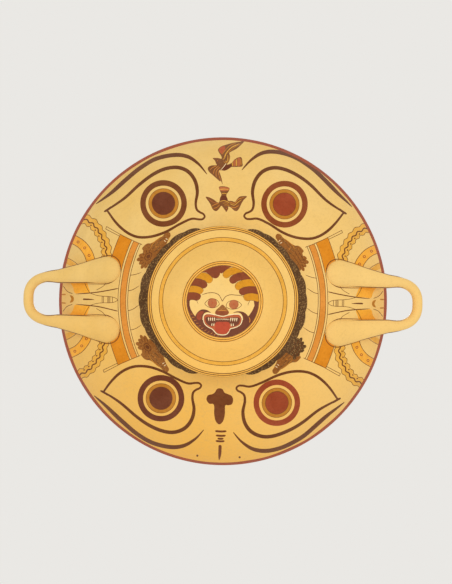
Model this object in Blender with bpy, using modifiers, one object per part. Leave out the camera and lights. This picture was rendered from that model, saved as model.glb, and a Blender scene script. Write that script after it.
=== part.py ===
"""A Greek kylix of the eye-cup kind: a wide drinking bowl on a short stem and a broad foot, with two loop handles.

The bowl, the stem, the foot and the handles are clay joined wet and fired as one, so they are one solid.
Metres, +Z up. The origin is on the cup's axis where the foot rests, and the handles lie along X.
"""

import math

import bmesh
import bpy
from mathutils import Vector

# The bowl
RIM_RADIUS = 0.1525
RIM_HEIGHT = 0.130
WALL = 0.0045
FLOOR_THICKNESS = 0.0075
BOWL_BASE_HEIGHT = 0.0425
WALL_ROUNDNESS = 1.036  # the bowl's ellipse is this much wider than the rim

# The stem, with a moulded collar under the bowl
COLLAR_RADIUS = 0.0285
COLLAR_BEAD = 0.0026
STEM_RADIUS = 0.0240
STEM_FOOT_HEIGHT = 0.0345
FLARE_POWER = 2.5

# The foot, with its hollow underside and the medallion in it
FOOT_RADIUS = 0.0683
FOOT_EDGE_HEIGHT = 0.0090
FOOT_EDGE_ROUND = 0.0022
FOOT_BEVEL = 0.0032
RESTING_RING_WIDTH = 0.0073
STEP_WIDTH = 0.0036
STEP_HEIGHT = 0.0028
HOLLOW_HEIGHT = 0.0105
MEDALLION_RADIUS = 0.0364
MEDALLION_BEAD_WIDTH = 0.0026
MEDALLION_BEAD_HEIGHT = 0.0010

# The handles: each has two arms, which end in flat pads on the wall, and a loop between them
HANDLE_ROD_RADIUS = 0.0047
HANDLE_REACH = 0.0282  # from the rim to the middle of the rod at the tip
HANDLE_TIP_HEIGHT = 0.1245
LOOP_SQUARENESS = 2.6
ARM_OFFSET_AT_RIM = 0.0208
PAD_OFFSET = 0.0293
PAD_SPREAD_POWER = 1.05
PAD_LENGTH = 0.0580  # from the rim inwards, seen from below
PAD_HALF_WIDTH = 0.0122
PAD_ROUND_END = 0.0130
PAD_TAPER_LENGTH = 0.0580
PAD_RISE = 0.0056
PAD_SUNK = 0.0022
PAD_FEATHER = 1.2
LEAVING_INNER = 0.0420  # inwards of the rim, where the arm starts to leave the wall
LEAVING_OUTER = 0.0180
LEAVING_LIFT = 0.0020

# How finely curves are faceted
TURN_STEPS = 64
BOWL_STEPS = 13
LIP_STEPS = 4
COLLAR_STEPS = 4
FLARE_STEPS = 6
EDGE_STEPS = 2
HOLLOW_STEPS = 3
ARM_STATIONS = 13
ARM_STATION_CROWDING = 1.25  # over 1, the stations stand closer together at the pad's end
LOOP_STATIONS = 7
SECTION_STEPS = 14

MERGE_DISTANCE = 0.00001
CLAY_COLOUR = (0.86, 0.60, 0.24, 1.0)
CLAY_ROUGHNESS = 0.62


def clear_scene():
    """Removes whatever the file held before."""
    for old in list(bpy.data.objects):
        bpy.data.objects.remove(old)


def smooth_step(share):
    """0 below 0, 1 above 1, and an even S curve between."""
    share = min(1.0, max(0.0, share))
    return share * share * (3.0 - 2.0 * share)


def ellipse_root(radius):
    """How far the bowl's ellipse hangs below its middle at this radius, as a share."""
    return math.sqrt(1.0 - (radius / (WALL_ROUNDNESS * RIM_RADIUS)) ** 2)


def wall_height(radius):
    """The height of the bowl's outer face at this radius. It is drawn on past the stem to the axis."""
    radius = min(radius, RIM_RADIUS)
    drop = (RIM_HEIGHT - BOWL_BASE_HEIGHT) / (ellipse_root(COLLAR_RADIUS) - ellipse_root(RIM_RADIUS))
    return RIM_HEIGHT - drop * (ellipse_root(radius) - ellipse_root(RIM_RADIUS))


def wall_normal(radius):
    """(outwards, up) of the bowl's outer face at this radius, which points out and down."""
    radius = min(radius, RIM_RADIUS)
    drop = (RIM_HEIGHT - BOWL_BASE_HEIGHT) / (ellipse_root(COLLAR_RADIUS) - ellipse_root(RIM_RADIUS))
    slope = drop * radius / ((WALL_ROUNDNESS * RIM_RADIUS) ** 2 * ellipse_root(radius))
    length = math.hypot(slope, 1.0)
    return slope / length, -1.0 / length


def inner_face():
    """The bowl's inside, from the axis to the lip. The wall thickens towards the middle."""
    points = []
    for step in range(BOWL_STEPS + 1):
        radius = RIM_RADIUS * math.sin(0.5 * math.pi * step / BOWL_STEPS)
        thickness = WALL + (FLOOR_THICKNESS - WALL) * (1.0 - radius / RIM_RADIUS) ** 2
        out, up = wall_normal(radius)
        points.append((radius - out * thickness, wall_height(radius) - up * thickness))
    points[0] = (0.0, points[0][1])
    return points


def lip():
    """The half-round top of the wall, from the inner face to the outer one."""
    out, up = wall_normal(RIM_RADIUS)
    middle = (RIM_RADIUS - out * WALL / 2, RIM_HEIGHT - up * WALL / 2)
    points = []
    for step in range(1, LIP_STEPS):
        turn = math.pi * step / LIP_STEPS
        across, along = -math.cos(turn) * WALL / 2, math.sin(turn) * WALL / 2
        points.append((middle[0] + across * out - along * up, middle[1] + across * up + along * out))
    return points


def outer_face():
    """The bowl's outside, from the lip to the collar."""
    first = math.asin(COLLAR_RADIUS / RIM_RADIUS)
    points = []
    for step in range(BOWL_STEPS + 1):
        turn = math.pi / 2 + (first - math.pi / 2) * step / BOWL_STEPS
        radius = RIM_RADIUS * math.sin(turn)
        points.append((radius, wall_height(radius)))
    return points


def collar_and_flare():
    """The bead under the bowl, the stem's waist and the sweep out to the foot's edge."""
    bead_height = BOWL_BASE_HEIGHT - COLLAR_BEAD
    bead_inset = COLLAR_RADIUS - COLLAR_BEAD / 2
    points = []
    for step in range(COLLAR_STEPS + 1):
        turn = math.pi / 2 - math.pi * step / COLLAR_STEPS
        points.append((bead_inset + COLLAR_BEAD * math.cos(turn), bead_height + COLLAR_BEAD * math.sin(turn)))
    points.pop(0)
    edge_top = FOOT_RADIUS - FOOT_EDGE_ROUND
    for step in range(FLARE_STEPS + 1):
        share = step / FLARE_STEPS
        rise = (STEM_FOOT_HEIGHT - FOOT_EDGE_HEIGHT) * (1.0 - share) ** FLARE_POWER
        points.append((STEM_RADIUS + (edge_top - STEM_RADIUS) * share, FOOT_EDGE_HEIGHT + rise))
    return points


def foot_edge():
    """The rounded edge, the bevel under it and the flat ring that the cup rests on."""
    points = []
    for step in range(1, EDGE_STEPS + 1):
        turn = math.pi / 2 * (1.0 - step / EDGE_STEPS)
        points.append(
            (
                FOOT_RADIUS - FOOT_EDGE_ROUND * (1.0 - math.cos(turn)),
                FOOT_EDGE_HEIGHT - FOOT_EDGE_ROUND * (1.0 - math.sin(turn)),
            )
        )
    ring_outer = FOOT_RADIUS - FOOT_BEVEL
    points.append((FOOT_RADIUS, FOOT_BEVEL))
    points.append((ring_outer, 0.0))
    points.append((ring_outer - RESTING_RING_WIDTH, 0.0))
    return points


def underside():
    """The step inside the resting ring, the shallow hollow, and the medallion within its bead."""
    ring_inner = FOOT_RADIUS - FOOT_BEVEL - RESTING_RING_WIDTH
    hollow_outer = ring_inner - STEP_WIDTH
    points = []
    for step in range(HOLLOW_STEPS + 1):
        share = step / HOLLOW_STEPS
        radius = hollow_outer + (MEDALLION_RADIUS - hollow_outer) * share
        points.append((radius, STEP_HEIGHT + (HOLLOW_HEIGHT - STEP_HEIGHT) * math.sin(share * math.pi / 2)))
    bead_base = HOLLOW_HEIGHT - MEDALLION_BEAD_HEIGHT
    quarter = MEDALLION_BEAD_WIDTH / 4
    points.append((MEDALLION_RADIUS - quarter, bead_base))
    points.append((MEDALLION_RADIUS - 3 * quarter, bead_base))
    points.append((MEDALLION_RADIUS - MEDALLION_BEAD_WIDTH, HOLLOW_HEIGHT))
    points.append((0.0, HOLLOW_HEIGHT))
    return points


def turned(name, profile):
    """A solid of revolution about Z from (radius, height) points that run down its outer side."""
    mesh = bpy.data.meshes.new(name)
    corners = [(radius, 0.0, height) for radius, height in profile]
    mesh.from_pydata(corners, [(i, i + 1) for i in range(len(corners) - 1)], [])
    made = bpy.data.objects.new(name, mesh)
    bpy.context.scene.collection.objects.link(made)
    screw = made.modifiers.new("turn", "SCREW")
    screw.axis = "Z"
    screw.steps = screw.render_steps = TURN_STEPS
    screw.use_merge_vertices = True
    screw.merge_threshold = MERGE_DISTANCE
    return made


def arm_plan(distance):
    """The middle of an arm seen from below, at this distance along X from the end of its pad."""
    inwards = (PAD_LENGTH - distance) / PAD_LENGTH
    spread = (PAD_OFFSET - ARM_OFFSET_AT_RIM) * max(0.0, inwards) ** PAD_SPREAD_POWER
    return Vector((RIM_RADIUS - PAD_LENGTH + distance, ARM_OFFSET_AT_RIM + spread))


def loop_plan(turn):
    """The middle of the loop seen from below: a squared half ellipse past the rim, from turn 0 to pi."""
    power = 2.0 / LOOP_SQUARENESS
    side = math.copysign(abs(math.cos(turn)) ** power, math.cos(turn))
    return Vector((RIM_RADIUS + HANDLE_REACH * math.sin(turn) ** power, ARM_OFFSET_AT_RIM * side))


def handle_plan():
    """The middle line of a whole handle seen from below, from the end of one pad to the end of the other."""
    arm = []
    for station in range(ARM_STATIONS):
        share = station / (ARM_STATIONS - 1)
        distance = PAD_LENGTH * share ** ARM_STATION_CROWDING
        arm.append(arm_plan(distance))
    loop = [loop_plan(math.pi * step / (LOOP_STATIONS * 2)) for step in range(1, LOOP_STATIONS * 2)]
    mirrored = [Vector((point.x, -point.y)) for point in reversed(arm)]
    return arm + loop + mirrored


def half_width(distance):
    """Half the width of an arm: a pad with a round end, which narrows evenly to the rod."""
    taper = 1.0 - min(1.0, max(0.0, distance - PAD_ROUND_END) / PAD_TAPER_LENGTH)
    width = HANDLE_ROD_RADIUS + (PAD_HALF_WIDTH - HANDLE_ROD_RADIUS) * taper
    if distance < PAD_ROUND_END:
        width *= math.sqrt(max(0.0, 1.0 - (1.0 - distance / PAD_ROUND_END) ** 2))
    return width


def on_wall(plan, height):
    """The point at this height above the bowl's outer face, over a point seen from below."""
    radius = plan.length
    out, up = wall_normal(radius)
    away = plan.normalized() * out * height
    return Vector((plan.x + away.x, plan.y + away.y, wall_height(radius) + up * height))


def handle_slope():
    """Where the free part of a handle starts, and its even rise over its run, seen from the side."""
    start = on_wall(arm_plan(PAD_LENGTH - LEAVING_INNER), LEAVING_LIFT)
    rise = HANDLE_TIP_HEIGHT - start.z
    return start, rise / (RIM_RADIUS + HANDLE_REACH - start.x)


def handle_section(plan, along):
    """The ring of points round a handle's middle line at one station."""
    distance = plan.x - (RIM_RADIUS - PAD_LENGTH)
    width = half_width(distance)
    end_share = min(1.0, distance / PAD_ROUND_END)
    swell = math.sqrt(max(0.0, 1.0 - (1.0 - end_share) ** 2))
    free = smooth_step((distance - (PAD_LENGTH - LEAVING_INNER)) / (LEAVING_INNER - LEAVING_OUTER))
    side = Vector((-along.y, along.x))
    start, slope = handle_slope()
    tilt = math.atan(slope)
    normal = Vector((math.sin(tilt), 0.0, -math.cos(tilt)))
    middle = Vector((plan.x, plan.y, start.z + (plan.x - start.x) * slope))
    forward = Vector((along.x, along.y, along.x * slope)).normalized()
    across = forward.cross(normal)
    if across.xy.dot(side) < 0.0:
        across.negate()
    ring = []
    for step in range(SECTION_STEPS):
        turn = 2.0 * math.pi * step / SECTION_STEPS
        reach, lift = math.cos(turn), math.sin(turn)
        height = PAD_RISE * swell * lift ** PAD_FEATHER if lift > 0 else PAD_SUNK * lift
        held = on_wall(plan + side * width * reach, height)
        loose = middle + across * width * reach + normal * HANDLE_ROD_RADIUS * lift
        ring.append(held.lerp(loose, free))
    return ring


def handle(name, direction):
    """One handle lofted from its sections, on the side of the cup that direction gives, +1 or -1 along X."""
    plan = handle_plan()
    build = bmesh.new()
    rings = []
    for index, point in enumerate(plan):
        before, after = plan[max(0, index - 1)], plan[min(len(plan) - 1, index + 1)]
        ring = handle_section(point, (after - before).normalized())
        rings.append([build.verts.new((direction * corner.x, direction * corner.y, corner.z)) for corner in ring])
    for first, second in zip(rings, rings[1:]):
        for step in range(SECTION_STEPS):
            nearby = (step + 1) % SECTION_STEPS
            build.faces.new((first[step], first[nearby], second[nearby], second[step]))
    build.faces.new(rings[0])
    build.faces.new(rings[-1])
    bmesh.ops.remove_doubles(build, verts=build.verts, dist=MERGE_DISTANCE)
    bmesh.ops.recalc_face_normals(build, faces=build.faces)
    mesh = bpy.data.meshes.new(name)
    build.to_mesh(mesh)
    build.free()
    made = bpy.data.objects.new(name, mesh)
    bpy.context.scene.collection.objects.link(made)
    return made


def clay():
    """Fired clay under a pale slip."""
    made = bpy.data.materials.new("slipped_clay")
    made.use_nodes = True
    shader = made.node_tree.nodes["Principled BSDF"]
    shader.inputs["Base Color"].default_value = CLAY_COLOUR
    shader.inputs["Roughness"].default_value = CLAY_ROUGHNESS
    shader.inputs["Metallic"].default_value = 0.0
    return made


def main():
    clear_scene()
    profile = inner_face() + lip() + outer_face() + collar_and_flare() + foot_edge() + underside()
    cup = turned("kylix", profile)
    helpers = bpy.data.collections.new("joined pieces")
    bpy.context.scene.collection.children.link(helpers)
    for name, direction in (("handle_right", 1.0), ("handle_left", -1.0)):
        piece = handle(name, direction)
        bpy.context.scene.collection.objects.unlink(piece)
        helpers.objects.link(piece)
        piece.hide_render = True
        piece.display_type = "WIRE"
        join = cup.modifiers.new(name, "BOOLEAN")
        join.operation = "UNION"
        join.object = piece
    cup.data.materials.append(clay())
    parts = bpy.data.collections.new("kylix")
    bpy.context.scene.collection.children.link(parts)
    bpy.context.scene.collection.objects.unlink(cup)
    parts.objects.link(cup)


main()
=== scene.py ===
"""The looks of a painted Greek eye cup, seen straight from beneath as in the drawing."""
import math

import bpy
import numpy as np
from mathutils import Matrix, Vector, noise
from mathutils.geometry import delaunay_2d_cdt


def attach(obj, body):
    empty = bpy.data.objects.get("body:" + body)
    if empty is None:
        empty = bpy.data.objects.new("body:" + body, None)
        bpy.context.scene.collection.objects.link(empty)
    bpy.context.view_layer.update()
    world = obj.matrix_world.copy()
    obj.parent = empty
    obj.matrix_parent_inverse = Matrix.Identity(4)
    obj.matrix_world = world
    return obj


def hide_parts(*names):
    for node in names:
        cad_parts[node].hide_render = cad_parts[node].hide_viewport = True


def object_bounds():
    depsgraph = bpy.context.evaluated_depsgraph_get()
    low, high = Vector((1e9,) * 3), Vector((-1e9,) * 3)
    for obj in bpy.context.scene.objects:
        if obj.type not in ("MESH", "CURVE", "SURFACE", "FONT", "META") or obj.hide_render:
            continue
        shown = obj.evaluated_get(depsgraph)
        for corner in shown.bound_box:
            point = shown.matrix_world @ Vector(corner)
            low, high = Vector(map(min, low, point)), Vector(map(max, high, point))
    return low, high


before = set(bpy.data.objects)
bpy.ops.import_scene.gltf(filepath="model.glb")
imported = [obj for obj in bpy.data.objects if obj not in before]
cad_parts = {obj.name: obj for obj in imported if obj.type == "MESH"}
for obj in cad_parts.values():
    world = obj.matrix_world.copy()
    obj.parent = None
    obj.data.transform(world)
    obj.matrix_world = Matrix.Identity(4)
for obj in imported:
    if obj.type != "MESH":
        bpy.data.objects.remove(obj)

CAD_LOW, CAD_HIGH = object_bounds()
MM = 0.001

# The cup's sizes, in millimetres, as the solid has them
RIM_RADIUS = CAD_HIGH.y / MM
TOP_HEIGHT = CAD_HIGH.z / MM
HANDLE_END = CAD_HIGH.x / MM
RIM_HEIGHT = 130.0
WALL = 4.5
FLOOR_THICKNESS = 7.5
BOWL_BASE_HEIGHT = 42.5
WALL_ROUNDNESS = 1.036
COLLAR_RADIUS = 28.5
COLLAR_BEAD = 2.6
STEM_RADIUS = 24.0
STEM_FOOT_HEIGHT = 34.5
FLARE_POWER = 2.5
FOOT_RADIUS = 68.3
FOOT_EDGE_HEIGHT = 9.0
FOOT_EDGE_ROUND = 2.2
FOOT_BEVEL = 3.2
RESTING_RING_WIDTH = 7.3
STEP_WIDTH = 3.6
STEP_HEIGHT = 2.8
HOLLOW_HEIGHT = 10.5
MEDALLION_RADIUS = 36.4
MEDALLION_BEAD_WIDTH = 2.6
MEDALLION_BEAD_HEIGHT = 1.0
HANDLE_ROD_RADIUS = 4.7
HANDLE_REACH = 28.2
HANDLE_TIP_HEIGHT = 124.5
LOOP_SQUARENESS = 2.6
ARM_OFFSET_AT_RIM = 20.8
PAD_OFFSET = 29.3
PAD_SPREAD_POWER = 1.05
PAD_LENGTH = 58.0
PAD_HALF_WIDTH = 12.2
PAD_ROUND_END = 13.0
PAD_TAPER_LENGTH = 58.0
PAD_RISE = 5.6
PAD_SUNK = 2.2
PAD_FEATHER = 1.2
LEAVING_INNER = 42.0
LEAVING_OUTER = 18.0
LEAVING_LIFT = 2.0

# How finely the surfaces are divided
TURN_STEPS = 192
WALL_RINGS = 26
WALL_SPACING = 5.0
INSIDE_RINGS = 30
ARM_STATIONS = 40
LOOP_STATIONS = 52
DRAWN_STEP = 1.0
ROUND_ERROR = 0.015
CORNER_SOFTNESS = 0.7
CORNER_FROM = math.radians(14.0)
CORNER_REACH = 0.42
LIP_STEPS = 10
NECK_STEPS = 8
BEAD_STEPS = 12
FLARE_STEPS = 24
EDGE_STEPS = 5
HOLLOW_STEPS = 12
CORNER_STEPS = 4
FEWEST_ROUND = 8
FEWEST_IN_RING = 24
FOOT_SPACING = 2.6
WALL_SAMPLES = 500

# How near is as good as the same, and how many rounds find the radius of a point that is seen
TINY = 1e-9
AT_AXIS = 1e-6
CUT_REACH = 1e-4
RING_REACH = 1e-3
SIGHT_ROUNDS = 5

# How a brush moves: its wander, where that is read from, and what is left of its width at a thinned end
HAND_WANDER = 0.28
HAND_WAVE = 0.055
HAND_LAYER = 3.7
THIN_END = 0.16

# Where the wall's painted part ends, out of sight above the foot
PAINTED_FROM = 40.0

# A painted band's edge stands at least this far from the next ring of points
BAND_CLEARANCE = 0.25

# The camera, far below the cup, and the drawing's own slant
CAMERA_DISTANCE = 4396.0
CAMERA_LENS = 300.0
DRAWING_SLANT = math.radians(0.9)
FRAME_SHIFT_RIGHT = 2.8
FRAME_SHIFT_UP = 8.6
FLOOR_GAP = 0.4

# Paints: the name of each material and its colour as a screen shows it
PAINTS = {
    "cream_slip": (231, 194, 120),
    "pale_slip": (236, 202, 128),
    "warm_slip": (229, 186, 104),
    "brown_paint": (106, 58, 24),
    "maroon_paint": (106, 52, 28),
    "dark_brown_paint": (115, 61, 26),
    "hair_paint": (128, 57, 22),
    "russet_paint": (136, 65, 27),
    "brick_paint": (151, 64, 32),
    "rim_paint": (158, 66, 24),
    "ochre_paint": (184, 118, 34),
    "golden_paint": (204, 134, 12),
    "orange_paint": (213, 129, 20),
    "tan_paint": (216, 137, 50),
    "saffron_paint": (241, 167, 48),
    "amber_paint": (228, 167, 62),
    "yellow_paint": (238, 176, 74),
    "umber_paint": (88, 60, 32),
    "hide_paint": (144, 87, 33),
    "feather_paint": (126, 76, 38),
    "lip_paint": (178, 84, 42),
    "tongue_paint": (175, 63, 34),
    "rose_paint": (179, 100, 54),
    "white_paint": (252, 222, 172),
}
SPECKLED = {"umber_paint": (172, 134, 80), "hide_paint": (180, 120, 54)}
SLOTS = {name: index for index, name in enumerate(PAINTS)}


# The turned form
def shares(count):
    """Even steps from 0 to 1, with both ends."""
    return [step / count for step in range(count + 1)]


def ellipse_root(radius):
    """How far the bowl's ellipse hangs below its middle at this radius, as a share."""
    return math.sqrt(1.0 - (radius / (WALL_ROUNDNESS * RIM_RADIUS)) ** 2)


WALL_DROP = (RIM_HEIGHT - BOWL_BASE_HEIGHT) / (ellipse_root(COLLAR_RADIUS) - ellipse_root(RIM_RADIUS))


def wall_height(radius):
    """The height of the bowl's outer face at this radius."""
    return RIM_HEIGHT - WALL_DROP * (ellipse_root(min(radius, RIM_RADIUS)) - ellipse_root(RIM_RADIUS))


def wall_normal(radius):
    """(outwards, up) of the bowl's outer face at this radius, which points out and down."""
    radius = min(radius, RIM_RADIUS)
    slope = WALL_DROP * radius / ((WALL_ROUNDNESS * RIM_RADIUS) ** 2 * ellipse_root(radius))
    length = math.hypot(slope, 1.0)
    return slope / length, -1.0 / length


def inner_face():
    """The bowl's inside, from the axis to the lip."""
    points = []
    for share in shares(INSIDE_RINGS):
        radius = RIM_RADIUS * math.sin(0.5 * math.pi * share)
        thickness = WALL + (FLOOR_THICKNESS - WALL) * (1.0 - radius / RIM_RADIUS) ** 2
        out, up = wall_normal(radius)
        points.append((max(0.0, radius - out * thickness), wall_height(radius) - up * thickness))
    points[0] = (0.0, points[0][1])
    return points


def lip():
    """The half-round top of the wall, from the inner face to the outer one."""
    out, up = wall_normal(RIM_RADIUS)
    middle = (RIM_RADIUS - out * WALL / 2, RIM_HEIGHT - up * WALL / 2)
    points = []
    for share in shares(LIP_STEPS)[1:-1]:
        across, along = -math.cos(math.pi * share) * WALL / 2, math.sin(math.pi * share) * WALL / 2
        height = middle[1] + across * up + along * out
        points.append((min(middle[0] + across * out - along * up, RIM_RADIUS), min(height, TOP_HEIGHT)))
    return points + [(RIM_RADIUS, RIM_HEIGHT)]


def stem_and_foot():
    """The outside from the unpainted part of the wall down to the bevel under the foot's edge."""
    points = []
    for share in shares(NECK_STEPS):
        radius = PAINTED_FROM + (COLLAR_RADIUS - PAINTED_FROM) * share
        points.append((radius, wall_height(radius)))
    bead_height = BOWL_BASE_HEIGHT - COLLAR_BEAD
    bead_inset = COLLAR_RADIUS - COLLAR_BEAD / 2
    for share in shares(BEAD_STEPS)[1:]:
        turn = math.pi / 2 - math.pi * share
        out, up = COLLAR_BEAD * math.cos(turn), COLLAR_BEAD * math.sin(turn)
        points.append((bead_inset + out, bead_height + up))
    edge_top = FOOT_RADIUS - FOOT_EDGE_ROUND
    for share in shares(FLARE_STEPS):
        rise = (STEM_FOOT_HEIGHT - FOOT_EDGE_HEIGHT) * (1.0 - share) ** FLARE_POWER
        points.append((STEM_RADIUS + (edge_top - STEM_RADIUS) * share, FOOT_EDGE_HEIGHT + rise))
    for share in shares(EDGE_STEPS)[1:]:
        turn = math.pi / 2 * (1.0 - share)
        drop = FOOT_EDGE_ROUND * (1.0 - math.sin(turn))
        points.append((edge_top + FOOT_EDGE_ROUND * math.cos(turn), FOOT_EDGE_HEIGHT - drop))
    points.append((FOOT_RADIUS, FOOT_BEVEL))
    return points


def underside():
    """The foot from beneath, from its bevel to the middle of the medallion."""
    ring_outer = FOOT_RADIUS - FOOT_BEVEL
    ring_inner = ring_outer - RESTING_RING_WIDTH
    hollow_outer = ring_inner - STEP_WIDTH
    points = [(FOOT_RADIUS, FOOT_BEVEL), (ring_outer, 0.0), (ring_inner, 0.0)]
    for share in shares(HOLLOW_STEPS):
        radius = hollow_outer + (MEDALLION_RADIUS - hollow_outer) * share
        points.append((radius, STEP_HEIGHT + (HOLLOW_HEIGHT - STEP_HEIGHT) * math.sin(share * math.pi / 2)))
    bead_base = HOLLOW_HEIGHT - MEDALLION_BEAD_HEIGHT
    quarter = MEDALLION_BEAD_WIDTH / 4
    points += [(MEDALLION_RADIUS - quarter, bead_base), (MEDALLION_RADIUS - 3 * quarter, bead_base)]
    return points + [(MEDALLION_RADIUS - MEDALLION_BEAD_WIDTH, HOLLOW_HEIGHT), (0.0, HOLLOW_HEIGHT)]


def softened(points):
    """The same line with each sharp corner replaced by a small curve."""
    made = [points[0]]
    for before, here, after in zip(points, points[1:], points[2:]):
        into = np.subtract(here, before)
        out = np.subtract(after, here)
        lengths = np.hypot(*into), np.hypot(*out)
        turn = math.acos(max(-1.0, min(1.0, float(np.dot(into, out)) / (lengths[0] * lengths[1]))))
        if turn < CORNER_FROM:
            made.append(here)
            continue
        reach = min(CORNER_SOFTNESS, CORNER_REACH * min(lengths))
        start = np.array(here) - into / lengths[0] * reach
        end = np.array(here) + out / lengths[1] * reach
        for share in shares(CORNER_STEPS):
            bent = (1 - share) ** 2 * start + 2 * share * (1 - share) * np.array(here) + share**2 * end
            made.append((float(bent[0]), float(bent[1])))
    made.append(points[-1])
    return made


class Profile:
    """A turned outline, given so that the clay is on the right of its direction, with its normals."""

    def __init__(self, points):
        self.points = np.array(points, float)
        along = np.diff(self.points, axis=0)
        along /= np.linalg.norm(along, axis=1)[:, None]
        tangent = np.vstack([along[:1], along[:-1] + along[1:], along[-1:]])
        tangent /= np.linalg.norm(tangent, axis=1)[:, None]
        self.normals = np.column_stack([-tangent[:, 1], tangent[:, 0]])
        rising = self.points[0, 0] < self.points[-1, 0]
        self.order = np.arange(len(points)) if rising else np.arange(len(points))[::-1]

    def at(self, radius):
        """Heights and normals (outwards, up) at these radii, for an outline that never turns back."""
        known = self.points[self.order]
        normals = self.normals[self.order]
        height = np.interp(radius, known[:, 0], known[:, 1])
        out = np.interp(radius, known[:, 0], normals[:, 0])
        up = np.interp(radius, known[:, 0], normals[:, 1])
        length = np.hypot(out, up)
        return height, out / length, up / length


# Lines of the drawing, in millimetres at the rim as seen from beneath: X to the right, Y up
def spline(points, closed=False, step=DRAWN_STEP):
    """A smooth line through the points."""
    points = [np.array(point, float) for point in points]
    count = len(points)
    made = []
    for span in range(count if closed else count - 1):
        around = range(span - 1, span + 3)
        near = [place % count if closed else max(0, min(count - 1, place)) for place in around]
        p0, p1, p2, p3 = (points[place] for place in near)
        pieces = max(2, math.ceil(np.hypot(*(p2 - p1)) / step))
        for t in shares(pieces)[:-1]:
            bend = (2 * p0 - 5 * p1 + 4 * p2 - p3) * t**2 + (3 * p1 - p0 - 3 * p2 + p3) * t**3
            made.append(0.5 * (2 * p1 + (p2 - p0) * t + bend))
    if not closed:
        made.append(points[-1])
    return np.array(made)


def length_along(line):
    """How far along a line each of its points lies."""
    return np.concatenate([[0], np.cumsum(np.linalg.norm(np.diff(line, axis=0), axis=1))])


def directions(line, closed=False):
    """The directions along and across a line at each of its points."""
    along = np.roll(line, -1, axis=0) - np.roll(line, 1, axis=0) if closed else np.gradient(line, axis=0)
    along = along / np.maximum(np.linalg.norm(along, axis=1), TINY)[:, None]
    return along, np.column_stack([-along[:, 1], along[:, 0]])


def both_edges(outside, inside):
    """One outline that runs round an outer edge and back round an inner one."""
    return np.vstack([outside, outside[:1], inside[:1], inside[::-1]])


def round_steps(radius, share=1.0):
    """How many straight pieces a round line needs to look round."""
    piece = math.sqrt(8.0 * radius * ROUND_ERROR)
    return max(FEWEST_ROUND, int(math.ceil(share * 2 * math.pi * radius / piece)))


def circle(centre, radius):
    """A round outline."""
    count = round_steps(radius)
    turns = np.arange(count) * 2 * math.pi / count
    return np.column_stack([centre[0] + radius * np.cos(turns), centre[1] + radius * np.sin(turns)])


def annulus(centre, outer, inner):
    """A flat ring."""
    return both_edges(circle(centre, outer), circle(centre, inner))


def widths_along(count, width, start, end):
    """Half widths of a stroke that thins towards its ends: start and end are the shares that taper."""
    share = np.linspace(0.0, 1.0, count)
    half = np.full(count, width / 2.0)
    for taper, from_end in ((start, share), (end, 1 - share)):
        if taper > 0:
            half *= THIN_END + (1 - THIN_END) * np.sin(np.clip(from_end / taper, 0, 1) * math.pi / 2)
    return half


def stroke(points, width, start=0.0, end=0.0, smooth=True, step=DRAWN_STEP):
    """The outline of a brush stroke along a line."""
    line = spline(points, step=step) if smooth else np.array(points, float)
    along, side = directions(line)
    half = np.array(width) if np.ndim(width) else widths_along(len(line), width, start, end)
    left, right = line + side * half[:, None], line - side * half[:, None]
    cap_end = line[-1] + along[-1] * half[-1]
    cap_start = line[0] - along[0] * half[0]
    return np.vstack([left, cap_end[None], right[::-1], cap_start[None]])


def outlined(line, half):
    """A stroke of varying half width along a closed line."""
    side = directions(line, closed=True)[1] * np.array(half)[:, None]
    return both_edges(line + side, line - side)


def shrunk(line, inset):
    """A closed outline drawn in by a distance."""
    side = directions(line, closed=True)[1]
    area = np.sum(line[:, 0] * np.roll(line[:, 1], -1) - line[:, 1] * np.roll(line[:, 0], -1))
    return line + side * inset * np.sign(area)


def moved(points, centre=(0, 0), size=1.0, turn=0.0, flip_x=False, flip_y=False):
    """Points flipped, scaled, turned and then moved to a place."""
    points = np.array(points, float) * size
    if flip_x:
        points[:, 0] *= -1
    if flip_y:
        points[:, 1] *= -1
    cos, sin = math.cos(turn), math.sin(turn)
    return points @ np.array([[cos, sin], [-sin, cos]]) + np.array(centre, float)


def arc(centre, radius, start, end):
    """Points along an arc between two angles in degrees."""
    count = max(3, round_steps(radius, abs(end - start) / 360.0) + 1)
    turns = np.radians(np.linspace(start, end, count))
    return np.column_stack([centre[0] + radius * np.cos(turns), centre[1] + radius * np.sin(turns)])


def band(centre, inner, outer, start, end):
    """The outline of a curved band between two radii."""
    return np.vstack([arc(centre, inner, start, end), arc(centre, outer, end, start)])


def by_hand(points):
    """The small wander that a brush has."""
    made = np.array(points, float)
    for row in made:
        drift = noise.noise_vector(Vector((row[0] * HAND_WAVE, row[1] * HAND_WAVE, HAND_LAYER)))
        row[0] += HAND_WANDER * drift.x
        row[1] += HAND_WANDER * drift.y
    return made


class Painting:
    """Painted outlines on one turned face, where a later one covers an earlier one."""

    def __init__(self, profile, ground):
        self.profile = profile
        self.ground = SLOTS[ground]
        self.shapes = []

    def fill(self, outline, paint, wander=True):
        """Lays one outline on the face, from where it is seen."""
        seen = by_hand(outline) if wander else np.array(outline, float)
        reach = np.maximum(np.hypot(seen[:, 0], seen[:, 1]), AT_AXIS)
        radius = reach.copy()
        for _ in range(SIGHT_ROUNDS):
            height = self.profile.at(radius)[0]
            radius = reach * (CAMERA_DISTANCE + height) / (CAMERA_DISTANCE + RIM_HEIGHT)
        self.shapes.append((seen * (radius / reach)[:, None], SLOTS[paint]))

    def blob(self, points, paint, step=DRAWN_STEP):
        """Lays one smooth outline on the face."""
        self.fill(spline(points, closed=True, step=step), paint)

    def line(self, points, width, paint, **how):
        """Lays one brush stroke on the face."""
        self.fill(stroke(points, width, **how), paint)

    def ring(self, outer, inner, paint):
        """A flat ring about the cup's axis."""
        self.fill(annulus((0, 0), outer, inner), paint)


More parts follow.
